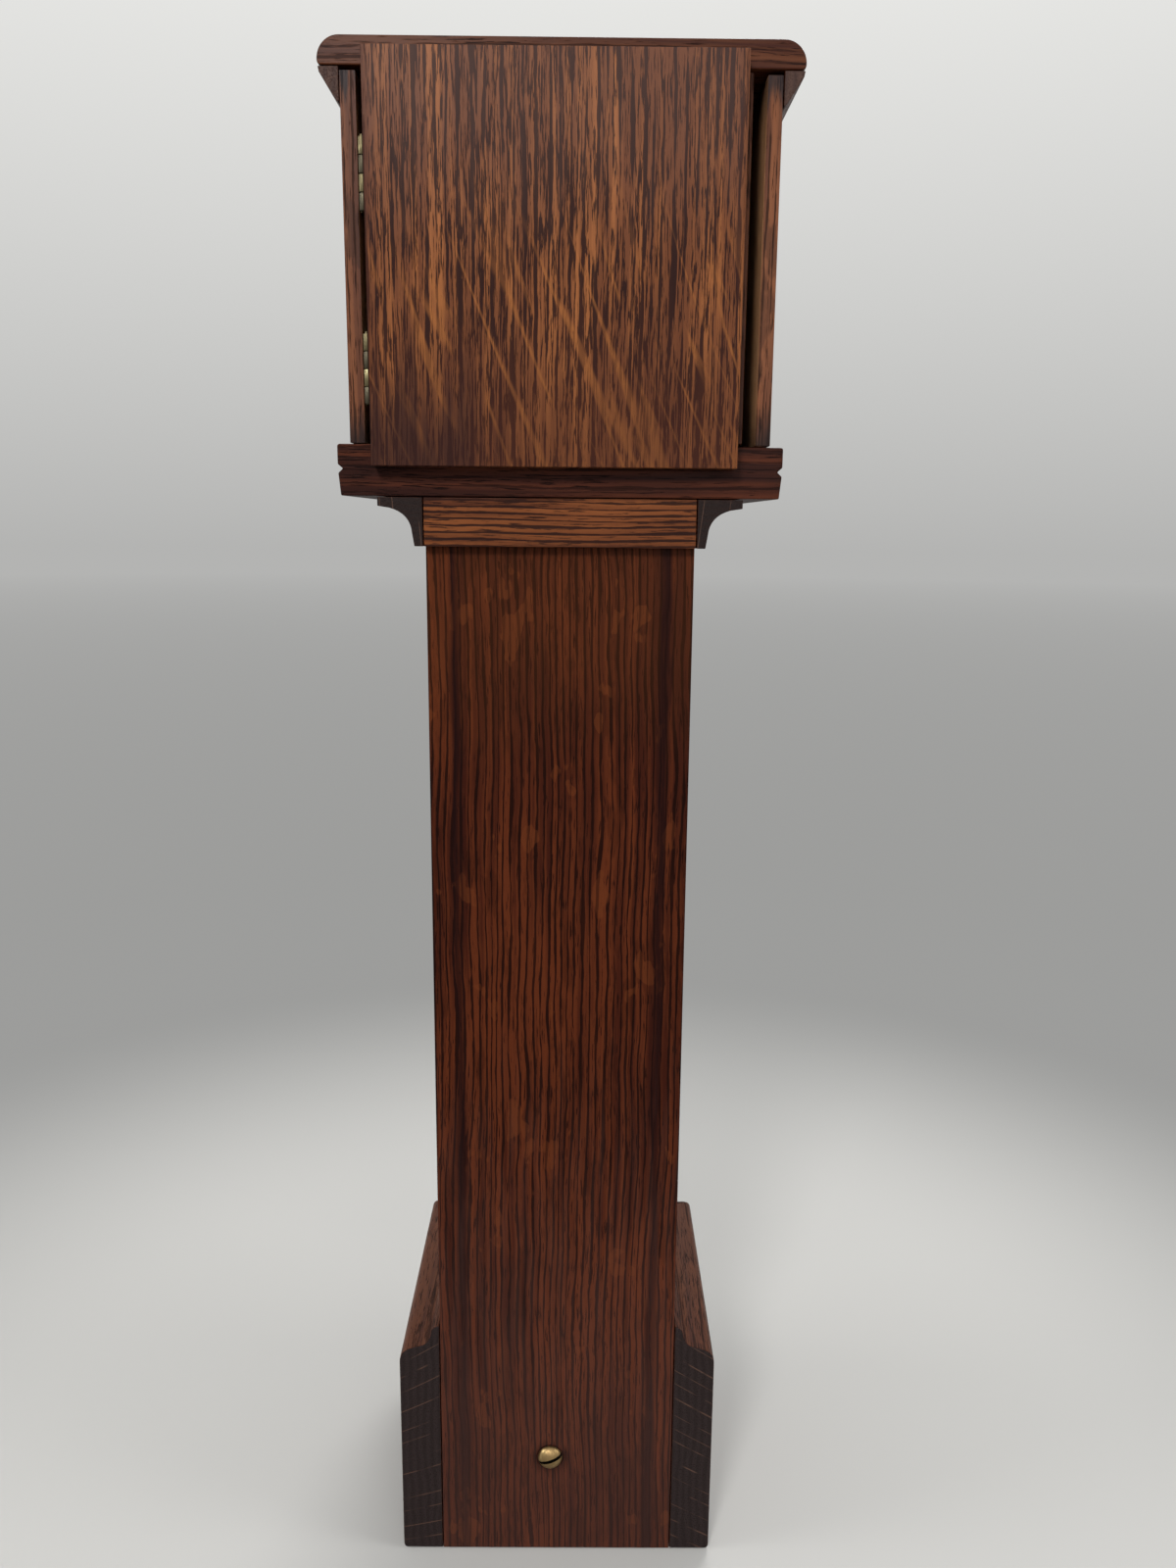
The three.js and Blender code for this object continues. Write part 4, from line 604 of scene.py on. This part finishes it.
# THROAT
# A flat rail of lighter oak across the back, and cove mouldings on the other three sides, mitred at
# the front. They carry the hood's base board; the coves show their black end grain behind.
rail_oak = waxed_oak(
    "throat rail oak", (0.2, 0.06, 0.016), (0.058, 0.014, 0.005), turn=LEVEL, at=(0.1, 0.0, 0.2),
    ring=0.0017, sway=0.0007, lines=1.0, wide=0.23, breaks=0.8, pores=0.5, flecks=0.0,
    pore=(0.014, 0.0045, 0.003),
    # Dark along the rail's top edge, which is painted shadow under the hood's base board, and dark along
    # its bottom edge too.
    bands=[(0.6, (0.03, 0.008, 0.004), {"foot": 0.3336, "foot_feather": 0.0012, "head": 0.3458,
                                        "head_feather": 0.001})],
)
COVE_BASE = (0.013, 0.0055, 0.0042)
cove_end_left = stained_end(
    "cove end left", turn=LEVEL, spacing=0.0034, rings=0.0018, slope=0.08, base=COVE_BASE, at=(0, 0, 0.004),
)
cove_end_right = stained_end(
    "cove end right", turn=LEVEL, spacing=0.0034, rings=0.0018, slope=-0.12, base=COVE_BASE,
)
cove_oak = waxed_oak(
    "cove oak", PLINTH_BROWN, RED_DARK, turn=LEVEL_SIDE, at=(0.7, 0.5, 0.5), ring=0.0026, flecks=0.0,
)
cove_front_oak = waxed_oak(
    "cove front oak", PLINTH_BROWN, RED_DARK, turn=LEVEL, at=(0.4, 0.5, 0.1), ring=0.0026, flecks=0.0,
)
eased("throat_rail_back", "case", rail_oak, 0.25)
eased("throat_moulding_left", "case", cove_oak, 0.2, 2, cove_end_left, sawn_across(1))
eased("throat_moulding_right", "case", cove_oak, 0.2, 2, cove_end_right, sawn_across(1))
eased("throat_moulding_front", "case", cove_front_oak, 0.2)

# HOOD BASE BOARD
# One dark oak board under the whole hood, with a V groove run along its ends and front.
base_board_oak = waxed_oak(
    "base board oak", (0.078, 0.02, 0.0085), (0.022, 0.006, 0.004), turn=LEVEL, at=(0.5, 0.3, 0.2),
    ring=0.0024, sway=0.001, lines=0.7, pores=0.3, flecks=0.0, gloss=0.05,
)
base_board_end = stained_end(
    "base board end", turn=UPRIGHT_SIDE, gloss=0.06, spacing=0.005, base=(0.034, 0.013, 0.0085),
    ring=(0.016, 0.0065, 0.0045),
)
eased("hood_base_board", "case", base_board_oak, 0.3, 2, base_board_end, sawn_across(0))

# HOOD SIDES AND FRONT FRAME
# Two thin oak sides stand on the base board. In front of them two stiles and two rails make a frame
# with a groove on the inside, which holds the glass.
HOOD_BROWN = (0.17, 0.052, 0.016)
HOOD_DARK = (0.05, 0.0145, 0.006)
side_oak = waxed_oak(
    "hood side oak", HOOD_BROWN, HOOD_DARK, turn=UPRIGHT_SIDE, at=(0.2, 0.3, 0.9), flecks=0.35, slant=0.5,
    # The inner face is given a much paler colour: painted light where the lamps barely reach inside the
    # hood.
    bands=[(0.72, (0.66, 0.34, 0.165), {"from": 0.0, "to": 0.0552, "feather": 0.0006}),
           # Darker towards the top: painted shade under the top board.
           (0.7, (0.012, 0.009, 0.01), {"head": 0.438, "head_feather": 0.016}),
           (0.7, (0.012, 0.006, 0.006), {"foot": 0.361, "foot_feather": 0.014})],
)
side_edge_oak = waxed_oak(
    "hood side edge oak", (0.215, 0.076, 0.031), (0.085, 0.029, 0.0155), at=(0.9, 0.3, 0.9), ring=0.0021,
    sway=0.0012, pores=0.35, flecks=0.0, blotches=0.5,
    bands=[(0.9, (0.012, 0.007, 0.007), {"foot": 0.361, "foot_feather": 0.012}),
           # Blue-black towards the top: painted shade under the top board.
           (0.85, (0.012, 0.011, 0.013), {"head": 0.4475, "head_feather": 0.006})],
)
stile_oak = waxed_oak("stile oak", HOOD_BROWN, HOOD_DARK, at=(0.55, 0.3, 0.2), flecks=0.4, slant=0.4)
frame_rail_oak = waxed_oak(
    "frame rail oak", HOOD_BROWN, HOOD_DARK, turn=LEVEL, at=(0.65, 0.3, 0.25), flecks=0.3, slant=0.4,
)
for side in ("left", "right"):
    eased("hood_side_" + side, "case", side_oak, 0.3, 2, side_edge_oak, sawn_across(1))
    eased("hood_stile_" + side, "case", stile_oak, 0.35)
for rail in ("bottom", "top"):
    eased("hood_rail_" + rail, "case", frame_rail_oak, 0.35)

# DIAL GLASS
# A pane of thin clear glass that sits in the groove of the front frame. It is a little smeared by age.


def smeared_glass():
    material, tree, shader, where = new_material("dial glass")
    shader.inputs["Base Color"].default_value = (0.97, 0.985, 0.975, 1.0)
    shader.inputs["Transmission Weight"].default_value = 1.0
    shader.inputs["IOR"].default_value = 1.46
    smear = fade(tree, speckle(tree, where, (28, 28, 60), 4.0, 0.6), 0.5, 0.72)
    give(tree, shader, Roughness=times(tree, smear, 0.05))
    relief(tree, shader, 0.1, 0.0002, speckle(tree, where, (22, 22, 9), 1.0))
    return material


eased("dial_glass", "case", smeared_glass(), 0.15)

# MOVEMENT PLATES
# Two brass plates held apart by four pillars. Each pillar ends in a threaded stud, and a small
# six-sided steel nut on it holds the back plate down.
plate_brass = metal("plate brass", (0.6, 0.43, 0.185), (0.4, 0.27, 0.105), 0.2, grain=500.0)
steel = metal("polished steel", (0.5, 0.5, 0.51), (0.3, 0.29, 0.29), 0.3)
PILLAR_INSET, NUT_RADIUS, NUT_HEIGHT, NUT_BORE, BORE_EASE, NUT_TURN = 3.2, 2.1, 1.6, 1.05, 0.15, 17
CORNER_IN, CORNER_DOWN = 0.4, 0.25
eased("movement_front_plate", "case", plate_brass, 0.12)
eased("movement_back_plate", "case", plate_brass, 0.12)
plate_low, plate_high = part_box("movement_back_plate")
plate_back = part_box("third_wheel")[1].y / MM


def set_at(bm, toward, at, spin=0.0):
    """Turns a shape made along +y about its own axis, points it a new way, and puts it in its place."""
    bmesh.ops.rotate(bm, verts=bm.verts, cent=(0, 0, 0), matrix=Matrix.Rotation(radians(spin), 3, "Y"))
    aim = Vector((0, 1, 0)).rotation_difference(Vector(toward)).to_matrix()
    bmesh.ops.rotate(bm, verts=bm.verts, cent=(0, 0, 0), matrix=aim)
    bmesh.ops.translate(bm, verts=bm.verts, vec=[distance * MM for distance in at])
    return bm


pillars = [
    (x, z) for x in (plate_low.x / MM + PILLAR_INSET, plate_high.x / MM - PILLAR_INSET)
    for z in (plate_low.z / MM + PILLAR_INSET, plate_high.z / MM - PILLAR_INSET)
]
for number, (x, z) in enumerate(pillars, 1):
    nut = lathe([
        (NUT_BORE, 0.0), (NUT_RADIUS, 0.0), (NUT_RADIUS, NUT_HEIGHT - CORNER_DOWN),
        (NUT_RADIUS - CORNER_IN, NUT_HEIGHT), (NUT_BORE + BORE_EASE, NUT_HEIGHT),
        (NUT_BORE, NUT_HEIGHT - BORE_EASE),
    ], steps=6, ring=True)
    set_at(nut, (0, 1, 0), (x, plate_back, z), spin=NUT_TURN * number)
    shown(f"pillar_nut_{number}", nut, "case", "steel", steel)

# GOING TRAIN
# The barrel with its great wheel, then the centre, third and fourth wheels: brass wheels crossed out
# to three spokes, on steel arbors with cut pinions. A blued steel spring is coiled in the barrel.
wheel_brass = metal("wheel brass", (0.66, 0.47, 0.2), (0.42, 0.27, 0.1), 0.3, grain=700.0)
blued_steel = metal("blued steel", (0.028, 0.05, 0.15), (0.05, 0.035, 0.09), 0.3)
WHEEL_EASE, COIL_STEPS = 0.05, 48


def within(centre, radius):
    """Picks the faces that lie wholly within a distance of a wheel's centre line."""
    return lambda face: all(hypot(v.co.x - centre.x, v.co.z - centre.z) < radius * MM for v in face.verts)


eased("mainspring_barrel", "barrel", wheel_brass, 0.12)
for wheel, pinion_radius in (("centre_wheel", 0.0), ("third_wheel", 1.95), ("fourth_wheel", 1.75)):
    eased(wheel, wheel, wheel_brass, WHEEL_EASE, 1, steel, within(middle(wheel), pinion_radius))


def coiled(node, centre, inner, outer, turns, strip, start):
    """A flat steel strip wound outwards at a steady rate."""
    low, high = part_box(node)
    bm = bmesh.new()
    bmesh.ops.create_grid(bm, x_segments=turns * COIL_STEPS, y_segments=1, size=0.5)
    for vert in bm.verts:
        share, across = vert.co.x + 0.5, vert.co.y + 0.5
        angle = radians(start) + share * turns * 2 * pi
        radius = (inner + (outer - inner) * share - strip / 2) * MM
        y = low.y + (high.y - low.y) * across
        vert.co = (centre.x + radius * cos(angle), y, centre.z + radius * sin(angle))
    bmesh.ops.solidify(bm, geom=bm.faces[:], thickness=strip * MM)
    return bm


barrel_middle = middle("mainspring_barrel")
mainspring = coiled("mainspring", barrel_middle, inner=2.55, outer=11.95, turns=4, strip=0.5, start=0)
shown("mainspring_coil", mainspring, "barrel", "blued_steel", blued_steel, "mainspring")

# ESCAPEMENT
# The escape wheel, a steel lever with two pins for pallets, and the brass balance. A blued hairspring
# joins the balance to a stud in the back plate.
ESCAPE_PINION, BALANCE_STAFF = 1.5, 0.8
escape_steel = within(middle("escape_wheel"), ESCAPE_PINION)
eased("escape_wheel", "escape_wheel", wheel_brass, WHEEL_EASE, 1, steel, escape_steel)
eased("lever", "lever", steel, WHEEL_EASE, 1)
balance_middle = middle("balance_wheel")
balance_steel = within(balance_middle, BALANCE_STAFF)
eased("balance_wheel", "balance", wheel_brass, 0.1, 2, steel, balance_steel)
hairspring = coiled("hairspring", balance_middle, inner=1.55, outer=5.6, turns=4, strip=0.3, start=120)
shown("hairspring_coil", hairspring, "case", "blued_steel", blued_steel, "hairspring")

# WINDING WORK
# A steel arbor carries the ratchet wheel and a square, a click holds the ratchet, and a brass key with
# an oval wing is left on the square behind the back plate.
key_brass = metal("key brass", (0.6, 0.41, 0.16), (0.28, 0.17, 0.06), 0.5)
eased("winding_arbor", "winding_arbor", steel, 0.06, 1)
eased("ratchet_click", "click", steel, 0.1)
eased("winding_key", "winding_arbor", key_brass, 0.06, 1)

# MOTION WORK
# Behind the dial the centre arbor's cannon pinion drives a brass minute wheel, and that drives the hour
# wheel, whose pipe turns on the arbor. A fluted brass knob behind sets the hands.
eased("centre_arbor", "hands_arbor", steel, 0.06, 1)
eased("minute_wheel", "minute_wheel", wheel_brass, WHEEL_EASE, 1)
eased("hour_wheel", "hour_wheel", wheel_brass, WHEEL_EASE, 1)
eased("set_knob", "hands_arbor", key_brass, 0.15)

# DIAL
# A flat metal plate painted cream and gone a little brown, with the hours and a ring of minutes
# painted on it in black. The hour signs are plain strokes with short cross strokes at their ends.


def dial_cream():
    material, tree, shader, where = new_material("dial cream")
    cloud = fade(tree, speckle(tree, where, (35, 35, 35), 4.0, 0.6), 0.38, 0.68)
    spots = fade(tree, speckle(tree, where, (900, 900, 900), 2.0), 0.66, 0.74)
    color = tint(tree, cloud, (0.76, 0.67, 0.47, 1.0), (0.66, 0.54, 0.34, 1.0))
    color = tint(tree, times(tree, spots, 0.5), color, (0.3, 0.19, 0.1, 1.0))
    give(tree, shader, Base_Color=color, Roughness=plus(tree, 0.35, times(tree, cloud, 0.2)))
    relief(tree, shader, 0.25, 0.00002, speckle(tree, where, (600, 600, 2400), 3.0))
    return material


def dial_black():
    material, tree, shader, where = new_material("dial black")
    thin = fade(tree, speckle(tree, where, (700, 700, 700), 3.0), 0.5, 0.7)
    color = tint(tree, times(tree, thin, 0.5), (0.012, 0.011, 0.01, 1.0), (0.07, 0.05, 0.03, 1.0))
    give(tree, shader, Base_Color=color, Roughness=plus(tree, 0.4, times(tree, thin, 0.3)))
    return material


PAINT, CROSSED, SERIF_RAISED = 0.05, 0.005, 0.01
NUMBER_CIRCLE, NUMBER_HEIGHT = 30.5, 6.2
BROAD, NARROW, SIGN_WIDTH, SIGN_GAP, SERIF = 1.1, 0.45, 4.4, 0.7, 0.35
RING_WIDTH, MINUTE_WIDTH, FIVE_WIDTH = 0.3, 0.3, 0.8
HOUR_RING, MINUTE_INSIDE, MINUTE_OUTSIDE = 26.4, 34.6, 36.6
HOURS = "XII I II III IIII V VI VII VIII IX X XI".split()
eased("dial_plate", "case", dial_cream(), 0.15)
dial_at = Vector((0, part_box("dial_plate")[0].y, middle("centre_wheel").z))
painted = bmesh.new()


def stroke(onto, foot, head, width, low, high, raised=0.0):
    """One straight brush stroke that leans from its foot to its head."""
    bar = bmesh.ops.create_cube(painted, size=1.0)["verts"]
    shape = Matrix((
        (width, 0, head - foot, (head + foot) / 2),
        (0, PAINT + raised, 0, 0),
        (0, 0, high - low, (high + low) / 2),
        (0, 0, 0, 1),
    ))
    bmesh.ops.transform(painted, matrix=onto @ shape, verts=bar)


def serif(onto, x, z, width):
    stroke(onto, x, x, width + 2 * SERIF, z - NARROW / 2, z + NARROW / 2, SERIF_RAISED)


for hour, signs in enumerate(HOURS):
    wide = [BROAD if sign == "I" else SIGN_WIDTH for sign in signs]
    x = -(sum(wide) + SIGN_GAP * (len(signs) - 1)) / 2
    onto = Matrix.Scale(MM, 4) @ Matrix.Rotation(radians(30 * hour), 4, "Y")
    onto = onto @ Matrix.Translation((0, 0, NUMBER_CIRCLE))
    foot, head = -NUMBER_HEIGHT / 2, NUMBER_HEIGHT / 2
    for sign, width in zip(signs, wide):
        left, centre_x, right = x + BROAD / 2, x + width / 2, x + width - NARROW / 2
        if sign == "I":
            stroke(onto, centre_x, centre_x, BROAD, foot, head)
            serif(onto, centre_x, foot, BROAD)
            serif(onto, centre_x, head, BROAD)
        if sign == "V":
            stroke(onto, centre_x, left, BROAD, foot, head)
            stroke(onto, centre_x, right, NARROW, foot, head, CROSSED)
            serif(onto, left, head, BROAD)
            serif(onto, right, head, NARROW)
        if sign == "X":
            stroke(onto, right, left, BROAD, foot, head)
            stroke(onto, left, right, NARROW, foot, head, CROSSED)
            for end in (foot, head):
                serif(onto, left, end, BROAD)
                serif(onto, right, end, NARROW)
        x += width + SIGN_GAP
for minute in range(60):
    onto = Matrix.Scale(MM, 4) @ Matrix.Rotation(radians(6 * minute), 4, "Y")
    stroke(onto, 0, 0, MINUTE_WIDTH if minute % 5 else FIVE_WIDTH, MINUTE_INSIDE, MINUTE_OUTSIDE)
bmesh.ops.translate(painted, verts=painted.verts, vec=dial_at)
dial_paint = dial_black()
shown("hours_and_minutes", painted, "case", "dial_paint", dial_paint)
for number, radius in enumerate((HOUR_RING, MINUTE_INSIDE, MINUTE_OUTSIDE), 1):
    inner, outer, front, back = radius - RING_WIDTH / 2, radius + RING_WIDTH / 2, -PAINT * 0.6, PAINT * 0.4
    ring = lathe([(inner, front), (outer, front), (outer, back), (inner, back)], steps=144, ring=True)
    bmesh.ops.translate(ring, verts=ring.verts, vec=dial_at)
    shown(f"dial_ring_{number}", ring, "case", "dial_paint", dial_paint)

# HANDS
# Two hands filed from blued steel sheet, each a thin blade that swells before its point. The hour hand
# sits on the hour wheel's pipe and the minute hand in front of it on the centre arbor.
eased("hour_hand", "hour_wheel", blued_steel, 0.12)
eased("minute_hand", "hands_arbor", blued_steel, 0.12)

# TOP BOARD AND CORNICE
# The top board's upper edges are rounded over. Under it a splayed moulding runs along the sides and
# the front, mitred at the front corners.
TOP_BROWN = (0.105, 0.033, 0.012)
top_oak = waxed_oak(
    "top board oak", TOP_BROWN, RED_DARK, turn=LEVEL, at=(0.15, 0.6, 0.7), ring=0.0026, sway=0.0014,
    lines=0.7, pores=0.4, flecks=0.1,
)
top_end = stained_end(
    "top board end", turn=UPRIGHT_SIDE, gloss=0.06, spacing=0.006, base=(0.062, 0.022, 0.0105),
    ring=(0.03, 0.011, 0.0065),
)
cornice_oak = waxed_oak(
    "cornice oak", TOP_BROWN, RED_DARK, turn=LEVEL_SIDE, at=(0.2, 0.1, 0.7), ring=0.0026, flecks=0.0,
)
cornice_front_oak = waxed_oak(
    "cornice front oak", TOP_BROWN, RED_DARK, turn=LEVEL, at=(0.3, 0.1, 0.7), ring=0.0026, flecks=0.0,
)
cornice_end = stained_end(
    "cornice end", spacing=0.0035, slope=0.3, base=(0.066, 0.034, 0.025), ring=(0.034, 0.017, 0.014),
)
eased("hood_top_board", "case", top_oak, 0.35, 2, top_end, sawn_across(0))
for side in ("left", "right"):
    eased("cornice_" + side, "case", cornice_oak, 0.2, 2, cornice_end, sawn_across(1))
eased("cornice_front", "case", cornice_front_oak, 0.2)

# REAR DOOR
# One quarter-sawn board laid over the back of the hood, the best-figured piece of the case, with a
# thinner panel fixed inside that keeps it in line between the base board and the top board.
door_oak = waxed_oak(
    "door oak", (0.312, 0.107, 0.031), (0.124, 0.0385, 0.0135), middle=0.0015, gloss=0.07,
    ring=0.0029, sway=0.0007, lines=1.0, wide=0.06, breaks=1.2, pores=0.78, pore=(0.0125, 0.0048, 0.005),
    flecks=0.6, fleck_top=0.435, slant=1.14, curl=-0.92, fleck=(0.33, 0.115, 0.028),
    bands=[
        # Paler and greyer towards the top: a painted sheen.
        (0.2, (0.17, 0.11, 0.095), {"head": 0.4, "head_feather": 0.06}),
        (0.58, (0.048, 0.0125, 0.006), {"from": 0.0475, "feather": 0.0025, "foot": 0.357,
                                        "foot_feather": 0.05}),
        (0.7, (0.022, 0.008, 0.007), {"spot": (0.043, 0.058, 0.352), "reach": 0.036}),
    ],
)
inner_panel_oak = waxed_oak("inner panel oak", HOOD_BROWN, HOOD_DARK, at=(0.35, 0.2, 0.3), flecks=0.1)
eased("rear_door", "door", door_oak, 0.4, 3)
eased("door_inner_panel", "door", inner_panel_oak, 0.3)

# HINGES
# Two small brass butt hinges, one leaf screwed to the hood's left side and one to the door. Their
# knuckles are rolled from the leaf, two and two, round a pin that stands a little above the top one.
case_leaf_brass = metal("case leaf brass", (0.19, 0.16, 0.085), (0.1, 0.082, 0.046), 0.6)
door_leaf_brass = metal("door leaf brass", (0.1, 0.088, 0.058), (0.055, 0.046, 0.032), 0.7)
leaf_screw_brass = metal("leaf screw brass", (0.45, 0.33, 0.14), (0.2, 0.13, 0.06), 0.5)
KNUCKLE_RADIUS, KNUCKLE_LENGTH, KNUCKLE_GAP, KNUCKLE_EASE = 0.95, 4.6, 0.2, 0.13
PIN_RADIUS, PIN_STAND, PIN_BORE, LEAF_EASE, FINGER_CLEAR = 0.42, 0.6, 0.55, 0.08, 0.02
HINGE_X, HINGE_Y = 52.5, 51.975
HINGE_LINE = (0, 0, 1), (HINGE_X, HINGE_Y, 0)
HEAD_PLAY, SHANK_PLAY, FIRST_SLOT, SLOT_STEP = 0.12, 0.15, 25, 47
LEAF_SCREW = {"head": 1.3, "dome": 0, "sink": 0.5, "shank": 0.55, "length": 2.6, "slot_width": 0.35,
              "slot_depth": 0.22, "threads": 4}


def sunk_hole():
    """The countersunk hole that a leaf screw's head lies in, made along -y from the leaf's face."""
    sink = LEAF_SCREW["sink"]
    wide, narrow = LEAF_SCREW["head"] + HEAD_PLAY, LEAF_SCREW["shank"] + SHANK_PLAY
    flare, above, through = (wide - narrow) / sink, 0.5, -1.5
    return lathe([
        (0, above), (wide + above * flare, above), (narrow, -sink), (narrow, through), (0, through),
    ])


def rolled_knuckle(low, high):
    """A knuckle from one height to another, not yet bored for the pin."""
    edge, radius, inset = KNUCKLE_EASE, KNUCKLE_RADIUS, KNUCKLE_EASE * 0.3
    outside = [
        (radius - edge, low), (radius - inset, low + inset), (radius, low + edge),
        (radius, high - edge), (radius - inset, high - inset), (radius - edge, high),
    ]
    return set_at(lathe([(0, low), *outside, (0, high)], steps=40), *HINGE_LINE)


for hinge, first_screw in (("upper", 1), ("lower", 3)):
    bottom, top = [corner.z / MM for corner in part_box(hinge + "_hinge_door_leaf")]
    for side, knuckles, leaf_brass, plate, finger, screw_at, outward in (
        ("case", (0, 2), case_leaf_brass, ((52.85, 44.975), (53.45, 50.775)),
         ((52.87, 50.5), (53.43, HINGE_Y)), (52.85, 47.875), (-1, 0, 0)),
        ("door", (1, 3), door_leaf_brass, ((45.5, 51.025), (51.3, 51.625)),
         ((51.0, 51.045), (HINGE_X, 51.605)), (48.4, 51.025), (0, -1, 0)),
    ):
        leaf = block((*plate[0], bottom), (*plate[1], top))
        rounded(leaf, leaf.edges[:], LEAF_EASE, 2)
        for number in (first_screw, first_screw + 1):
            z = middle(f"hinge_{side}_screw_{number}").z / MM
            leaf = carved(leaf, set_at(sunk_hole(), outward, (*screw_at, z)))
            slot_turn = FIRST_SLOT + SLOT_STEP * number
            driven = set_at(wood_screw(**LEAF_SCREW), outward, (*screw_at, z), spin=slot_turn)
            shown(f"hinge_{side}_screw_{number}_cut", driven, side, "brass", leaf_screw_brass,
                  f"hinge_{side}_screw_{number}", second=black_slot)
        for knuckle in knuckles:
            high = top - knuckle * KNUCKLE_LENGTH - KNUCKLE_GAP / 2
            low = high - KNUCKLE_LENGTH + KNUCKLE_GAP
            bridge = block((*finger[0], low + FINGER_CLEAR), (*finger[1], high - FINGER_CLEAR))
            for grown in (bridge, rolled_knuckle(low, high)):
                leaf = carved(leaf, grown, "UNION")
        if side == "door":
            bore = lathe([(0, bottom - 1), (PIN_BORE, bottom - 1), (PIN_BORE, top + 1), (0, top + 1)])
            leaf = carved(leaf, set_at(bore, *HINGE_LINE))
        else:
            crown = top + PIN_STAND
            pin = lathe([
                (0, bottom), (PIN_RADIUS, bottom), (PIN_RADIUS, crown - 0.15),
                (PIN_RADIUS * 0.75, crown - 0.04), (0, crown),
            ], steps=32)
            leaf = carved(leaf, set_at(pin, *HINGE_LINE), "UNION")
        shown(f"{hinge}_{side}_leaf_rolled", leaf, side, "brass", leaf_brass, f"{hinge}_hinge_{side}_leaf")

# STUDIO
# A pale floor that fades into a pale grey room, soft lamps round the clock, and the camera where the
# photograph was taken from.
HAZE = (0.335, 0.335, 0.328, 1.0)
HORIZON = (0.455, 0.455, 0.447, 1.0)
CEILING = (0.82, 0.82, 0.8, 1.0)
FLOOR_DROP = 0.0004


def seen_share(tree):
    """1 for rays from the camera, and for those it sees in metal or through glass."""
    path = place(tree, "ShaderNodeLightPath").outputs
    seen = larger(tree, path["Is Camera Ray"], path["Is Glossy Ray"])
    return larger(tree, seen, path["Is Transmission Ray"])


bm = bmesh.new()
bmesh.ops.create_circle(bm, cap_ends=True, segments=96, radius=9.0)
bmesh.ops.translate(bm, verts=bm.verts, vec=(0, 0, -FLOOR_DROP))
floor = in_scene("floor", as_mesh("floor", bm))
pale, tree, shader, where = new_material("pale floor")
shader.inputs["Base Color"].default_value = (0.487, 0.479, 0.459, 1.0)
shader.inputs["Roughness"].default_value = 0.7
shader.inputs["Specular IOR Level"].default_value = 0.2
distance = place(tree, "ShaderNodeVectorMath", {0: where}, operation="LENGTH").outputs["Value"]
far = fade(tree, distance, 0.2, 0.5)
rise = place(tree, "ShaderNodeMapRange", {"Value": distance, "From Min": 0.8, "From Max": 8.0}).outputs[0]
glow = place(tree, "ShaderNodeEmission", {"Color": tint(tree, rise, HAZE, HORIZON), "Strength": 1.0})
share = times(tree, far, seen_share(tree))
mixed = place(tree, "ShaderNodeMixShader", {0: share, 1: shader.outputs[0], 2: glow.outputs[0]})
give(tree, tree.nodes["Material Output"], Surface=mixed.outputs[0])
floor.data.materials.append(pale)

world = bpy.data.worlds.new("room")
world.use_nodes = True
bpy.context.scene.world = world
tree = world.node_tree
daylight = tree.nodes["Background"]
daylight.inputs["Color"].default_value = (0.95, 0.98, 1.0, 1.0)
daylight.inputs["Strength"].default_value = 0.4
ray = place(tree, "ShaderNodeTexCoord").outputs["Generated"]
height = place(tree, "ShaderNodeSeparateXYZ", {0: ray}).outputs[2]
lift = place(tree, "ShaderNodeMapRange", {"Value": height, "From Min": -0.02, "From Max": 0.38}).outputs[0]
room = place(tree, "ShaderNodeBackground", {"Color": tint(tree, lift, HORIZON, CEILING), "Strength": 1.0})
both = place(tree, "ShaderNodeMixShader", {0: seen_share(tree), 1: daylight.outputs[0], 2: room.outputs[0]})
give(tree, tree.nodes["World Output"], Surface=both.outputs[0])


def softbox(name, at, aim, size, power):
    """A round lamp with a white cloth over it."""
    data = bpy.data.lights.new(name, "AREA")
    data.shape, data.size, data.energy = "DISK", size, power
    lamp = in_scene(name, data)
    lamp.location = at
    lamp.rotation_euler = (Vector(aim) - Vector(at)).to_track_quat("-Z", "Y").to_euler()


softbox("lamp behind left", (0.34, 1.25, 1.05), (0, 0, 0.3), 0.3, 12.5)
softbox("lamp behind right", (-0.4, 1.5, 0.6), (0, 0, 0.3), 0.5, 3.0)
softbox("lamp left", (1.1, 0.2, 0.75), (0, 0, 0.25), 0.6, 5.0)
softbox("lamp right", (-1.1, 0.3, 0.7), (0, 0, 0.25), 0.6, 5.0)
softbox("lamp above front", (-0.3, -0.9, 1.2), (0, 0, 0.25), 0.7, 11.0)

camera_data = bpy.data.cameras.new("camera")
camera_data.sensor_width = 36.0
camera_data.lens = 28.37
camera_data.clip_start = 0.01
camera = in_scene("camera", camera_data)
camera.location = (-0.00636, 0.404285, 0.3403)
camera.rotation_euler = (radians(78.0588), radians(-0.5), radians(179.765))
bpy.context.scene.camera = camera
bpy.context.scene.view_settings.view_transform = "Standard"
